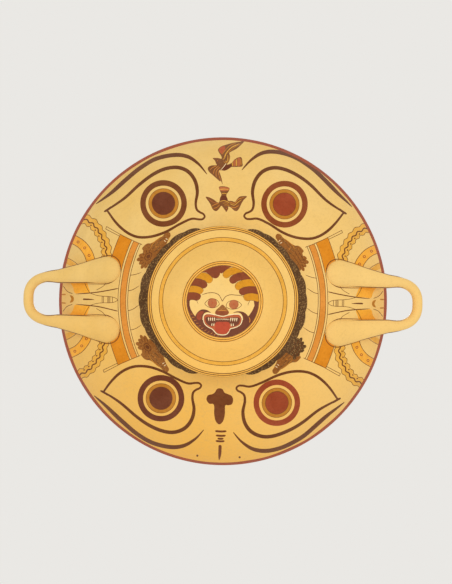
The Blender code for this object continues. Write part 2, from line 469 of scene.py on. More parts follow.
def winding(points, outline):
    """How many times an outline goes round each point."""
    turns = np.zeros(len(points), int)
    ends = np.roll(outline, -1, axis=0)
    for (x0, y0), (x1, y1) in zip(outline, ends):
        if y0 == y1:
            continue
        side = (x1 - x0) * (points[:, 1] - y0) - (points[:, 0] - x0) * (y1 - y0)
        turns += (y0 <= points[:, 1]) & (points[:, 1] < y1) & (side > 0)
        turns -= (y1 <= points[:, 1]) & (points[:, 1] < y0) & (side < 0)
    return turns


class Clay:
    """The cup's mesh as it grows: points, faces, the paint of each face and the normal at each point."""

    def __init__(self):
        self.points = []
        self.normals = []
        self.faces = []
        self.paints = []

    def ring(self, radius, height, out, up):
        """One ring of points about the axis. Returns where it starts."""
        start = len(self.points)
        for step in range(TURN_STEPS):
            turn = 2 * math.pi * step / TURN_STEPS
            cos, sin = math.cos(turn), math.sin(turn)
            self.points.append((radius * cos, radius * sin, height))
            self.normals.append((out * cos, out * sin, up))
        return start

    def strip(self, profile, bands, first=None, last=None):
        """Turns an outline, in bands of (length along it where a paint ends, paint).

        first and last are the rings made before at its two ends.
        """
        known = length_along(profile.points)
        cuts = np.array([end for end, _ in bands[:-1]])
        free = [length for length in known[1:-1] if np.abs(cuts - length).min() > BAND_CLEARANCE]
        lengths = np.unique(np.concatenate([known[:1], cuts, free, known[-1:]]))
        columns = [*profile.points.T, *profile.normals.T]
        stations = np.column_stack([np.interp(lengths, known, column) for column in columns])
        rings = []
        for index, (radius, height, out, up) in enumerate(stations):
            if index == 0 and first is not None:
                rings.append(first)
            elif index == len(stations) - 1 and last is not None:
                rings.append(last)
            elif radius < AT_AXIS:
                self.points.append((0.0, 0.0, height))
                self.normals.append((0.0, 0.0, up))
                rings.append(-len(self.points))
            else:
                rings.append(self.ring(radius, height, out, up))
        middles = (lengths[:-1] + lengths[1:]) / 2
        for a, b, middle in zip(rings, rings[1:], middles):
            paint = SLOTS[next((paint for end, paint in bands if middle <= end), bands[-1][1])]
            for step in range(TURN_STEPS):
                nearby = (step + 1) % TURN_STEPS
                pole = (-a - 1, b + step, b + nearby)
                self.faces.append(pole if a < 0 else (a + step, b + step, b + nearby, a + nearby))
                self.paints.append(paint)

    def painted(self, painting, radii, inner=None, outer=None):
        """Adds a painted face of the cup. inner and outer are the rings made before at its borders."""
        profile = painting.profile
        places, edges = [], []
        limits = [(radii[0], inner), (radii[-1], outer)]
        for radius, ring in limits:
            if ring is not None:
                start = len(places)
                places += [tuple(self.points[ring + step][:2]) for step in range(TURN_STEPS)]
                edges += [(start + step, start + (step + 1) % TURN_STEPS) for step in range(TURN_STEPS)]
        for index, radius in enumerate(radii[1:-1]):
            count = max(FEWEST_IN_RING, min(TURN_STEPS, int(radius * 2 * math.pi / WALL_SPACING)))
            offset = 0.5 * (index % 2)
            for step in range(count):
                turn = 2 * math.pi * (step + offset) / count
                places.append((radius * math.cos(turn), radius * math.sin(turn)))
        if inner is None:
            places.append((0.0, 0.0))
        for outline, _ in painting.shapes:
            flipped = np.column_stack([outline[:, 0], -outline[:, 1]])
            start = len(places)
            places += [tuple(point) for point in flipped]
            edges += [(start + step, start + (step + 1) % len(flipped)) for step in range(len(flipped))]
        cut = delaunay_2d_cdt([Vector(place) for place in places], edges, [], 0, CUT_REACH, False)
        flat = np.array([tuple(point) for point in cut[0]])
        faces = np.array([tuple(face) for face in cut[2]])
        middles = flat[faces].mean(1)
        reach = np.hypot(middles[:, 0], middles[:, 1])
        border = radii[-1] * math.cos(math.pi / TURN_STEPS)
        keep = reach < border
        if inner is not None:
            keep &= reach > radii[0] * (1.0 - CUT_REACH)
        faces, middles = faces[keep], middles[keep]
        paints = np.full(len(faces), painting.ground)
        for outline, paint in painting.shapes:
            flipped = np.column_stack([outline[:, 0], -outline[:, 1]])
            low, high = flipped.min(0), flipped.max(0)
            near = np.flatnonzero(((middles >= low) & (middles <= high)).all(1))
            paints[near[winding(middles[near], flipped) != 0]] = paint
        index = {}
        radius = np.hypot(flat[:, 0], flat[:, 1])
        height, out, up = profile.at(radius)
        for place in np.unique(faces):
            x, y = flat[place]
            joined = None
            for limit, ring in limits:
                if ring is not None and abs(radius[place] - limit) < RING_REACH:
                    joined = ring + round(math.atan2(y, x) * TURN_STEPS / (2 * math.pi)) % TURN_STEPS
            if joined is None:
                joined = len(self.points)
                safe = max(radius[place], TINY)
                self.points.append((x, y, height[place]))
                self.normals.append((out[place] * x / safe, out[place] * y / safe, up[place]))
            index[place] = joined
        for face, paint in zip(faces, paints):
            a, b, c = (index[corner] for corner in face)
            if len({a, b, c}) == 3:
                self.faces.append((a, c, b))
                self.paints.append(int(paint))


# The handles
LINED_FROM = 21.0
LINED_TO = 64.0
LINE_TAPER = 12.0
LINE_INSET = 0.14
LINE_WIDTH = 0.72
TOP_STEPS = 18
BACK_STEPS = 16
SECTION_STEPS = TOP_STEPS + BACK_STEPS + 4
STATION_POWER = 1.25
LEAST_LINE = 0.1
EDGE_COSINE = 0.9
LINE_COSINE = 0.7


def smooth_step(share):
    """0 below 0, 1 above 1, and an even S curve between."""
    share = min(1.0, max(0.0, share))
    return share * share * (3.0 - 2.0 * share)


def arm_plan(distance):
    """The middle of an arm seen from below, at this distance along X from the end of its pad."""
    inwards = max(0.0, (PAD_LENGTH - distance) / PAD_LENGTH)
    spread = (PAD_OFFSET - ARM_OFFSET_AT_RIM) * inwards**PAD_SPREAD_POWER
    return Vector((RIM_RADIUS - PAD_LENGTH + distance, ARM_OFFSET_AT_RIM + spread))


def loop_plan(turn):
    """The middle of the loop seen from below, from turn 0 to pi."""
    power = 2.0 / LOOP_SQUARENESS
    side = math.copysign(abs(math.cos(turn)) ** power, math.cos(turn))
    return Vector((RIM_RADIUS + HANDLE_REACH * math.sin(turn) ** power, ARM_OFFSET_AT_RIM * side))


def handle_plan():
    """The middle line of a whole handle seen from below."""
    arm = [arm_plan(PAD_LENGTH * share**STATION_POWER) for share in shares(ARM_STATIONS - 1)]
    loop = [loop_plan(math.pi * step / LOOP_STATIONS) for step in range(1, LOOP_STATIONS)]
    mirrored = [Vector((point.x, -point.y)) for point in reversed(arm)]
    return arm + loop + mirrored


def half_width(distance):
    """Half the width of an arm: a pad with a round end, which narrows evenly to the rod."""
    taper = 1.0 - min(1.0, max(0.0, distance - PAD_ROUND_END) / PAD_TAPER_LENGTH)
    width = HANDLE_ROD_RADIUS + (PAD_HALF_WIDTH - HANDLE_ROD_RADIUS) * taper
    if distance < PAD_ROUND_END:
        width *= math.sqrt(max(0.0, 1.0 - (1.0 - distance / PAD_ROUND_END) ** 2))
    return width


def on_wall(plan, height):
    """The point at this height above the bowl's outer face, over a point seen from below."""
    radius = plan.length
    out, up = wall_normal(radius)
    away = plan.normalized() * out * height
    return Vector((plan.x + away.x, plan.y + away.y, wall_height(radius) + up * height))


LEAVING_POINT = on_wall(arm_plan(PAD_LENGTH - LEAVING_INNER), LEAVING_LIFT)
HANDLE_SLOPE = (HANDLE_TIP_HEIGHT - LEAVING_POINT.z) / (RIM_RADIUS + HANDLE_REACH - LEAVING_POINT.x)


def line_share(distance):
    """How much of its full width the painted line has at this distance from the pad's end."""
    begun, left = distance - LINED_FROM, LINED_TO + LINE_TAPER - distance
    return smooth_step(begun / LINE_TAPER) * smooth_step(left / LINE_TAPER)


def section_turns(distance, width):
    """The turns of a section's points. A painted line lies between the second and third, and mirrored."""
    share, width = max(LEAST_LINE, line_share(distance)), max(width, 1.0)
    first = math.acos(max(EDGE_COSINE, 1.0 - LINE_INSET / width))
    second = math.acos(max(LINE_COSINE, 1.0 - (LINE_INSET + LINE_WIDTH * share) / width))
    across = [second + (math.pi - 2.0 * second) * step / TOP_STEPS for step in range(1, TOP_STEPS)]
    below = [math.pi + math.pi * step / BACK_STEPS for step in range(1, BACK_STEPS)]
    return [0.0, first, second] + across + [math.pi - second, math.pi - first, math.pi] + below


def handle_section(plan, along):
    """The ring of points round a handle's middle line at one station."""
    distance = plan.x - (RIM_RADIUS - PAD_LENGTH)
    width = half_width(distance)
    swell = math.sqrt(max(0.0, 1.0 - (1.0 - min(1.0, distance / PAD_ROUND_END)) ** 2))
    free = smooth_step((distance - (PAD_LENGTH - LEAVING_INNER)) / (LEAVING_INNER - LEAVING_OUTER))
    side = Vector((-along.y, along.x))
    tilt = math.atan(HANDLE_SLOPE)
    normal = Vector((math.sin(tilt), 0.0, -math.cos(tilt)))
    middle = Vector((plan.x, plan.y, LEAVING_POINT.z + (plan.x - LEAVING_POINT.x) * HANDLE_SLOPE))
    across = Vector((along.x, along.y, along.x * HANDLE_SLOPE)).normalized().cross(normal)
    if across.xy.dot(side) < 0.0:
        across.negate()
    ring = []
    for turn in section_turns(distance, width):
        reach, lift = math.cos(turn), math.sin(turn)
        height = PAD_RISE * swell * lift**PAD_FEATHER if lift > 0 else PAD_SUNK * lift
        held = on_wall(plan + side * width * reach, height)
        loose = middle + across * width * reach + normal * HANDLE_ROD_RADIUS * lift
        ring.append(held.lerp(loose, free))
    return ring


def handle_mesh(direction):
    """One handle: points, faces and paints, with a fine line along each side of its underside."""
    plan = handle_plan()
    points, faces, paints = [], [], []
    rings = []
    for index, point in enumerate(plan):
        before, after = plan[max(0, index - 1)], plan[min(len(plan) - 1, index + 1)]
        ring = handle_section(point, (after - before).normalized())
        rings.append(len(points))
        for corner in ring:
            points.append((direction * min(corner.x, HANDLE_END), direction * corner.y, corner.z))
    for first, second, point in zip(rings, rings[1:], plan):
        loose = line_share(point.x - (RIM_RADIUS - PAD_LENGTH)) > 0.0
        for step in range(SECTION_STEPS):
            nearby = (step + 1) % SECTION_STEPS
            lined = loose and step in (1, TOP_STEPS + 2)
            faces.append((first + step, second + step, second + nearby, first + nearby))
            paints.append(SLOTS["brown_paint" if lined else "cream_slip"])
    faces.append(tuple(rings[0] + step for step in range(SECTION_STEPS)))
    faces.append(tuple(rings[-1] + step for step in reversed(range(SECTION_STEPS))))
    paints += [SLOTS["cream_slip"]] * 2
    return points, faces, paints


# The drawing on the wall
EYE_LID = (
    (-53, -7), (-37.5, 3.5), (-23, 17), (-11, 26), (1.5, 32), (13, 33.5), (23, 30), (29.5, 22),
    (32, 11.5), (30.8, 1), (31.8, -5), (35, -7.8), (37.8, -9), (39.4, -11.6), (37.4, -14), (33.8, -14.3),
    (26.6, -14), (16.5, -18.6), (3.4, -26.2), (-9.5, -30.8), (-21.5, -31.8), (-30.5, -29.2), (-38.5, -24),
    (-46, -16.4),
)
LID_SHARES = (0.0, 0.08, 0.22, 0.36, 0.43, 0.50, 0.56, 0.62, 0.75, 0.92, 1.0)
LID_WIDTHS = (1.6, 2.5, 3.2, 3.5, 3.3, 2.3, 1.8, 2.1, 2.5, 2.5, 1.8)
EYE_BROW = (
    (-62.5, -1.4), (-48.5, 9), (-35.5, 21.2), (-22.5, 32.4), (-7.5, 41.2), (8.5, 45.2), (21.5, 43.9),
    (32, 37.2), (40, 28),
)
# Each eye: the iris's place, its flips, its outline's size, turn and shift, its brow's lift, its two paints
EYE_PLACES = (
    (-56.8, 90.2, False, False, (0.985, 1.0), 0.0, -0.3, 0.0, "maroon_paint", "dark_brown_paint"),
    (55.8, 91.3, True, False, (1.0, 1.0), 0.0, 2.2, 3.2, "brick_paint", "russet_paint"),
    (-56.2, -91.0, False, True, (0.99, 0.95), -2.0, -1.2, 2.4, "maroon_paint", "maroon_paint"),
    (51.6, -93.5, True, True, (1.025, 0.96), -3.0, 1.9, 1.4, "brick_paint", "brick_paint"),
)
IRIS_OUTER = 21.7
IRIS_INNER = 16.5
OCHRE_RING = 13.8
PUPIL = 10.4
FINE = 0.4
EYE_CORNER = ((-55.8, -8.6), (-53.0, -7.0), (-49.0, -4.2))
CORNER_WIDTH = 2.0
BROW_WIDTH = 3.9
BROW_RISE = 16.0


def draw_eye(wall, x, y, flip_x, flip_y, size, turn, shift, lift, pupil_paint, iris_paint):
    """One of the four eyes, with its brow."""
    def placed(points, size, turn=0.0, aside=0.0):
        points = moved(np.array(points) * size, turn=math.radians(turn))
        return moved(points, (x + aside, y), flip_x=flip_x, flip_y=flip_y)

    lid = spline(placed(EYE_LID + EYE_LID[:1], size, turn, shift))[:-1]
    length = length_along(lid)
    half = np.interp(length / length[-1], LID_SHARES, LID_WIDTHS) / 2
    wall.fill(outlined(lid, half), "brown_paint")
    wall.line(placed(EYE_CORNER, size, turn, shift), CORNER_WIDTH, "brown_paint", start=0.3)
    brow = np.array(EYE_BROW)
    brow[:, 1] += lift * np.clip((brow[:, 0] - brow[0, 0]) / BROW_RISE, 0, 1)
    wall.line(placed(brow, (1.0, size[1])), BROW_WIDTH, "brown_paint", start=0.25, end=0.3)
    wall.fill(annulus((x, y), IRIS_OUTER, IRIS_INNER), iris_paint)
    wall.fill(circle((x, y), OCHRE_RING), "ochre_paint")
    wall.fill(annulus((x, y), OCHRE_RING + FINE / 2, OCHRE_RING - FINE / 2), "brown_paint")
    wall.fill(circle((x, y), PUPIL + FINE), "brown_paint")
    wall.fill(circle((x, y), PUPIL), pupil_paint)


BIRD_UNIT = 0.542
BIRD_STEP = 0.7
BIRD_EYE = 0.95
BIRD_PUPIL = 0.4
UPPER_BIRD = (
    (25, 50.5), (16, 49.5), (5, 47.5), (-5, 44.5), (-15, 41), (-20, 35.5), (-17.5, 30), (-14, 25),
    (-13, 20.5), (-16.5, 20.6), (-20, 21.5), (-28.5, 21), (-25, 17), (-22.5, 11.5), (-21.5, 9),
    (-30, 8.5), (-35.5, 6), (-36.8, 2), (-34, -3), (-27, -9), (-20, -15), (-15, -19), (-14, -17),
    (-11, -24), (-12, -16), (-14.5, -8), (-17, -0.5), (-13, 0), (-7, -0.5), (0, 3), (4, 6), (10, 6),
    (22, 7.5), (22.5, 14), (21, 22.5), (16, 23), (9, 19), (4, 13), (-4, 10), (0, 16), (1.5, 24), (0, 30),
    (4, 33), (12, 37.5), (19, 43.5),
)
UPPER_PATCHES = (
    ("lip_paint", ((-18.5, 35), (-16.5, 39), (-10.5, 42), (-7, 40), (-8.5, 34), (-12, 28.5), (-15.5, 30))),
    ("maroon_paint", ((-12, 1.2), (-7.5, 8), (0, 9.2), (4, 10.5), (4, 7), (-2, 2), (-8, 0.3))),
    ("rose_paint", ((7.2, 8), (10.6, 8), (10.8, 18.4), (7, 16))),
    ("rose_paint", ((13.8, 8.2), (18.6, 9), (18.4, 21.5), (14, 20.8))),
)
UPPER_STRIPES = (
    ("ochre_paint", 0.65, ((-13, 27), (-6, 36), (1, 43), (12, 47.6))),
    ("amber_paint", 0.75, ((-9, 23), (-3, 33), (5, 40.5), (17, 46.5))),
    ("ochre_paint", 0.55, ((-4, 29), (4, 36), (10, 41), (21, 47))),
    ("amber_paint", 0.5, ((-11, 18), (-7.4, 23), (-5.5, 30))),
    ("ochre_paint", 0.6, ((-10, 16.5), (-5.6, 12.5), (-0.8, 18.5), (0, 27))),
    ("amber_paint", 0.45, ((-7, 17), (-4.4, 15), (-2.6, 20.5), (-2.8, 27))),
    ("white_paint", 0.5, ((-5, 12.5), (-9.6, 5.8), (-14.6, 0.4))),
    ("tan_paint", 0.45, ((-21, 8), (-29, 4.6), (-33, 0.4))),
    ("tan_paint", 0.45, ((-17.5, 8), (-25, 1.2), (-26.6, -6.6))),
    ("tan_paint", 0.45, ((-15.5, 6), (-22, -2), (-21.6, -12))),
    ("tan_paint", 0.4, ((-16.2, 1), (-18, -5), (-14.4, -16))),
    ("amber_paint", 0.75, ((5.6, 7.4), (5.4, 14))),
    ("amber_paint", 0.8, ((12.2, 7.6), (12.2, 20))),
    ("ochre_paint", 0.9, ((20.4, 8.6), (19.8, 21.2))),
)
LOWER_BIRD = (
    (-12.5, 22), (-4, 23), (5, 20), (3.5, 14), (0, 8), (3, -1.5), (9, -2), (15, -3.5), (19, 2), (24, 6),
    (35.5, 6.5), (30, 0), (26, -7), (23, -14), (19, -19), (14, -18.5), (9, -14), (4, -12), (3.5, -16),
    (0.5, -21), (-2, -18), (-6, -13), (-8.5, -11), (-13, -17), (-17.5, -20), (-23, -17), (-28, -7),
    (-35.5, 4), (-29, 3.5), (-21, -0.5), (-15, -5), (-12, -4), (-11, 2), (-8.5, 9), (-11, 15),
)
LOWER_PATCHES = (
    ("maroon_paint", ((-9, 6), (-1, 6), (2.4, -0.6), (-3, -2.4), (-10.6, -1))),
    ("rose_paint", ((-11, 21.4), (3.6, 20.6), (2.6, 15.6), (-9.6, 15.4))),
)
LOWER_STRIPES = (
    ("amber_paint", 0.55, ((-11.2, 17.6), (-4, 18.2), (3.6, 17.4))),
    ("amber_paint", 0.6, ((-8, 10.4), (-3.6, 11), (0.8, 10.4))),
    ("amber_paint", 0.5, ((-11, -3.6), (-5, -1.6), (1, -3), (6, -6))),
    ("ochre_paint", 0.5, ((-6, -7), (0, -5.4), (5, -8.6))),
    ("ochre_paint", 0.5, ((-4, -9.6), (1, -9), (6, -11))),
    ("tan_paint", 0.5, ((5, -3.6), (14, -6), (21, 1), (31, 4.8))),
    ("amber_paint", 0.5, ((6, -6.6), (14, -9.2), (21, -3.4), (27, 0.6))),
    ("tan_paint", 0.5, ((8, -12), (15, -13.4), (22, -9))),
    ("tan_paint", 0.45, ((-12, -6), (-20, -9), (-25.4, -12))),
    ("tan_paint", 0.45, ((-11, -9), (-16, -13.6), (-22, -15.6))),
    ("rose_paint", 0.45, ((-16, -6.4), (-24, -4), (-31, 1.2))),
)


def draw_birds(wall):
    """Two birds between the upper eyes: one flying across, one seen from above."""
    def draw(centre, outline, patches, stripes, eye):
        for paint, patch in (("feather_paint", outline), *patches):
            wall.blob(moved(patch, centre, BIRD_UNIT), paint, BIRD_STEP)
        for paint, width, points in stripes:
            wall.line(moved(points, centre, BIRD_UNIT), width, paint, start=0.2, end=0.3, step=BIRD_STEP)
        place = moved([eye], centre, BIRD_UNIT)[0]
        wall.fill(circle(place, BIRD_EYE), "maroon_paint")
        wall.fill(circle(place, BIRD_PUPIL), "tan_paint")

    draw((3.9, 121.7), UPPER_BIRD, UPPER_PATCHES, UPPER_STRIPES, (-20.0, 16.6))
    draw((1.6, 94.6), LOWER_BIRD, LOWER_PATCHES, LOWER_STRIPES, (0.0, -15.0))


NOSE = (
    (0, 9.2), (2.6, 8.4), (4.6, 5.2), (7.8, 3.8), (11.4, 2), (12.7, -1.8), (11.4, -5.6), (8.2, -6.6),
    (5.2, -7), (5, -15), (3.5, -21.5), (0, -24.5), (-3.5, -21.5), (-5, -15), (-5, -8), (-6.2, -5.4),
    (-9.6, -5.2), (-12.2, -1.5), (-10.8, 2.4), (-6.8, 3.6), (-4.4, 5.4), (-2.6, 8.4),
)
NOSE_PLACE = (-1.6, -90.0)
# The short strokes below the nose: (height, left end, right end)
SHORT_STROKES = ((-120.7, -5.6, 5.4), (-124.8, -4.8, 4.6), (-127.6, -3.0, 2.6), (-130.0, -4.8, 3.6))
SHORT_WIDTH = 1.9
DASH = ((-0.6, -133.6), (-0.6, -141.0), (-1.2, -147.6))
DASH_WIDTH = 2.9
DOTS = ((-21.7, -143.9), (17.8, -144.8))
DOT_RADIUS = 1.0


def draw_nose(wall):
    """The nose between the lower eyes, with the short strokes, the dash and the two dots below it."""
    wall.blob(moved(NOSE, NOSE_PLACE), "dark_brown_paint")
    for y, left, right in SHORT_STROKES:
        bent = [(left, y), (0, y - 0.3), (right, y + 0.1)]
        wall.line(bent, SHORT_WIDTH, "dark_brown_paint", start=0.2, end=0.2)
    wall.line(DASH, DASH_WIDTH, "dark_brown_paint", start=0.1, end=0.5)
    for dot in DOTS:
        wall.fill(circle(dot, DOT_RADIUS), "brown_paint")


# The beasts round the foot
FOOT_SEEN = FOOT_RADIUS * (CAMERA_DISTANCE + RIM_HEIGHT) / (CAMERA_DISTANCE + FOOT_BEVEL)
HEAD = (
    (1, -7.4), (4.6, -9.4), (8.4, -8.6), (11, -6.2), (16, -4.4), (23, -2.6), (27.8, -2.4), (29.9, -0.2),
    (28.7, 2.6), (25.4, 3.4), (20.6, 4.6), (13, 7.6), (4, 9),
)
ROSETTE = ((4.2, -1.2), (0.4, -3.2), (-3.8, -1.7), (-3.6, 1.5), (0.4, 2.8), (4.0, 1.3))
ROSETTE_LAYERS = ((1.0, "brown_paint"), (0.8, "hide_paint"), (0.5, "brown_paint"))
BEAST_ANGLE = math.atan2(24.5, -20.8)
BEAST_STEP = 0.8
MANE_LOBES = 7
LOBE_STEPS = 8
MANE_FROM = -30.0
MANE_TO = -238.0
MANE_CENTRE = -1.2
MANE_LENGTH = 1.08
MANE_FLATNESS = 0.76
MANE_REACH = 7.9
LOBE_DEPTH = 2.5
MANE_UNEVENNESS = 17.0
RAY_REACHES = (4.6, 6.6, 8.4)
MANE_FOLDS = (-4.6, -1.6, 1.4)
# Fine lines of a beast's head, each from its start to its end
HEAD_LINES = (
    ((6, -5.2), (15, -3.4)), ((7, -2.2), (17, -1.0)), ((6, 1.0), (15, 2.2)), ((16, -2.2), (26, -0.6)),
    ((5, 4.6), (13, 4.6)), ((9, -7.6), (10.4, -5.6)),
)
# Each beast's mane: its place before the flips, the flips, its paint and whether it has a rosette
BEAST_PLACES = (
    ((70.0, 40.6), True, False, "hide_paint", True), ((68.4, 40.6), False, False, "hide_paint", False),
    ((69.6, 43.6), True, True, "hide_paint", True), ((67.4, 43.6), False, True, "umber_paint", False),
)


def mane_point(share, reach):
    """A point of the mane, at a share of the way round it and this far from its middle."""
    turn = math.radians(MANE_FROM + (MANE_TO - MANE_FROM) * share)
    return MANE_CENTRE + MANE_LENGTH * reach * math.cos(turn), MANE_FLATNESS * reach * math.sin(turn)


def draw_beast(wall, place, flip_x, flip_y, mane_paint, rosette):
    """The head and mane of one of the four beasts whose bodies go round the foot."""
    def placed(points):
        return moved(moved(points, place, turn=BEAST_ANGLE), flip_x=flip_x, flip_y=flip_y)

    def line(points, width, paint, start=0.3, end=0.3, step=BEAST_STEP):
        wall.line(placed(points), width, paint, start=start, end=end, step=step)

    mane = []
    for share in shares(MANE_LOBES * LOBE_STEPS):
        lobe = abs(math.sin(share * MANE_LOBES * math.pi)) ** 0.6
        mane.append(mane_point(share, MANE_REACH + LOBE_DEPTH * lobe + math.sin(share * MANE_UNEVENNESS)))
    mane += [(-4.0, 9.0), (8.0, 8.0)]
    wall.blob(placed(HEAD), "hide_paint", BEAST_STEP)
    wall.fill(placed(mane), mane_paint)
    for share in shares(MANE_LOBES):
        line([mane_point(share, reach) for reach in RAY_REACHES], 0.55, "brown_paint")
    if rosette:
        for size, paint in ROSETTE_LAYERS:
            wall.blob(placed(np.array(ROSETTE) * size), paint)
    else:
        for y in MANE_FOLDS:
            line([(-7.0, y + 0.6), (-1.0, y), (6.0, y - 0.8)], 0.5, "brown_paint")
    for start, end in HEAD_LINES:
        bend = ((start[0] + end[0]) / 2, (start[1] + end[1]) / 2 + 0.5)
        line([start, bend, end], 0.55, "umber_paint")
    line([(7, -3.8), (14, -4.6), (22, -3.0)], 0.6, "ochre_paint")
    wall.fill(circle(placed([(12.0, -0.6)])[0], 0.7), "tan_paint")
    wall.fill(circle(placed([(12.1, -0.6)])[0], 0.35), "umber_paint")
    for x in (21.0, 23.4):
        line([(x, 1.0), (x + 0.2, 3.4)], 0.7, "white_paint", start=0.2, end=0.8, step=0.5)


# The beasts' bodies, in degrees about the axis and in depths outside and inside the foot's edge
BODY_HALF = 72.0
BODY_STEPS = 180
BODY_DEPTH = 7.0
BODY_THINNING = 3.0
THINS_FROM = 13.0
THINS_OVER = 24.0
BODY_INSIDE = 5.0
SCALLOP_SPACING = 13.3
SCALLOP_DEPTH = 1.2


def draw_body(wall, flip_x):
    """The dark body of two beasts, which hugs the foot with a scalloped back."""
    back, belly = [], []
    for step in shares(BODY_STEPS):
        degrees = -BODY_HALF + 2 * BODY_HALF * step
        angle, share = math.radians(degrees), abs(degrees) / BODY_HALF
        thinned = BODY_THINNING * smooth_step((abs(degrees) - THINS_FROM) / THINS_OVER)
        depth = (BODY_DEPTH - thinned) * (1.0 - share**10) ** 0.7
        wave = abs(math.cos(degrees * math.pi / SCALLOP_SPACING)) ** 0.7
        scallop = SCALLOP_DEPTH * wave * (1.0 - share**10)
        outside, inside = FOOT_SEEN + depth + scallop, FOOT_SEEN - BODY_INSIDE * (1.0 - share**8)
        back.append((outside * math.cos(angle), outside * math.sin(angle)))
        belly.append((inside * math.cos(angle), inside * math.sin(angle)))
    wall.fill(moved(back + belly[::-1], flip_x=flip_x), "umber_paint")


# The bands between the foot and a handle: their middle on X, radii, and half angles in degrees
BAND_CENTRE = -38.0
FINE_ARC = 126.6
BAND_INNER = 128.3
BAND_OUTER = 133.7
BLOCK_INNER = 135.6
BLOCK_OUTER = 147.6
BAND_HALF = 24.2
LINE_HALF = 24.3
LONG_HALF = 24.4
BLOCK_FROM = 12.0
# Marks drawn above the handle and mirrored below it. The first group is (width, points)
CORNER_LINES = (
    (0.52, ((109.4, 67.8), (92.0, 58.6), (76.0, 51.4))),
    (0.52, ((110.2, 65.6), (97.4, 59.2))),
    (0.52, ((109.4, 67.8), (110.2, 65.6))),
)
UPPER_LEAF = ((144.6, 37.6), (139.0, 33.8), (131.4, 27.2), (134.0, 24.0), (140.4, 29.6), (147.0, 33.6))
UPPER_LEAF_EDGE = ((145.4, 38.4), (138.2, 34.2), (130.6, 27.4))
LOWER_LEAF = (
    (142.0, 15.4), (135.0, 15.6), (127.5, 15.4), (125.2, 11.0), (124.0, 6.2), (131.0, 5.8), (137.6, 5.4),
    (139.6, 10.6),
)
LOWER_LEAF_EDGE = ((129.2, 15.4), (126.6, 10.0), (124.2, 6.2))
STEM_LINE = ((137.0, 4.6), (117.0, 6.6), (97.4, 10.6))
BUD_LINE = ((124.0, 5.8), (118.0, 3.9), (112.0, 3.1), (106.0, 2.9), (101.0, 2.1), (97.5, 0))
TENDRIL = ((107.6, 17.6), (111.4, 12.4), (117.6, 8.6))
SHORT_DASH = ((149.4, 3.9), (146.0, 4.1))
LONG_TENDRIL = ((148.6, 11.8), (145.0, 7.2), (140.2, 5.0))
# Marks on the handle's own line
MIDDLE_LEAF = ((142.4, 3.4), (139.6, 2.6), (138.6, 0.0), (139.6, -2.6), (142.4, -3.4), (141.0, 0.0))
MIDDLE_STROKE = ((130.4, 0.0), (125.0, 0.0), (119.6, -0.3))
BUD_RUNGS = (112.4, 111.1, 107.2, 106.2, 105.2, 102.9)
# The short curls that leave the fine arc towards the foot: (height, lift)
CURLS = ((23.0, 3.0), (8.4, 5.2), (-10.0, 5.6), (-28.0, 5.2))

# The ribbons and the dotted bands
RIBBON = (
    (133.8, 73.2), (128.8, 71.3), (122.5, 67.5), (117.5, 61.5), (113.5, 54.7), (110.6, 47.9),
    (109.7, 41.5), (110.2, 34),
)
RIBBON_LEAN = math.radians(0.9)
RIBBON_HALF_WIDTH = 4.4
RIBBON_WAVE = 6.6
DOTTED_BAND = (
    (144.8, 54.4), (139.9, 52.7), (132.8, 48.4), (127.1, 41.3), (124, 33.6), (122.6, 27),
)
DOTTED_HALF_WIDTH = 4.1
RIBBON_STEP = 0.7
RIBBON_RIPPLE = 0.7
RIBBON_BAYS = range(1, 7)
BAY_DOT_ASIDE = 2.2
BAY_DOT_RADIUS = 0.68
DOTTED_PLACES = (0.26, 0.47, 0.68, 0.86)


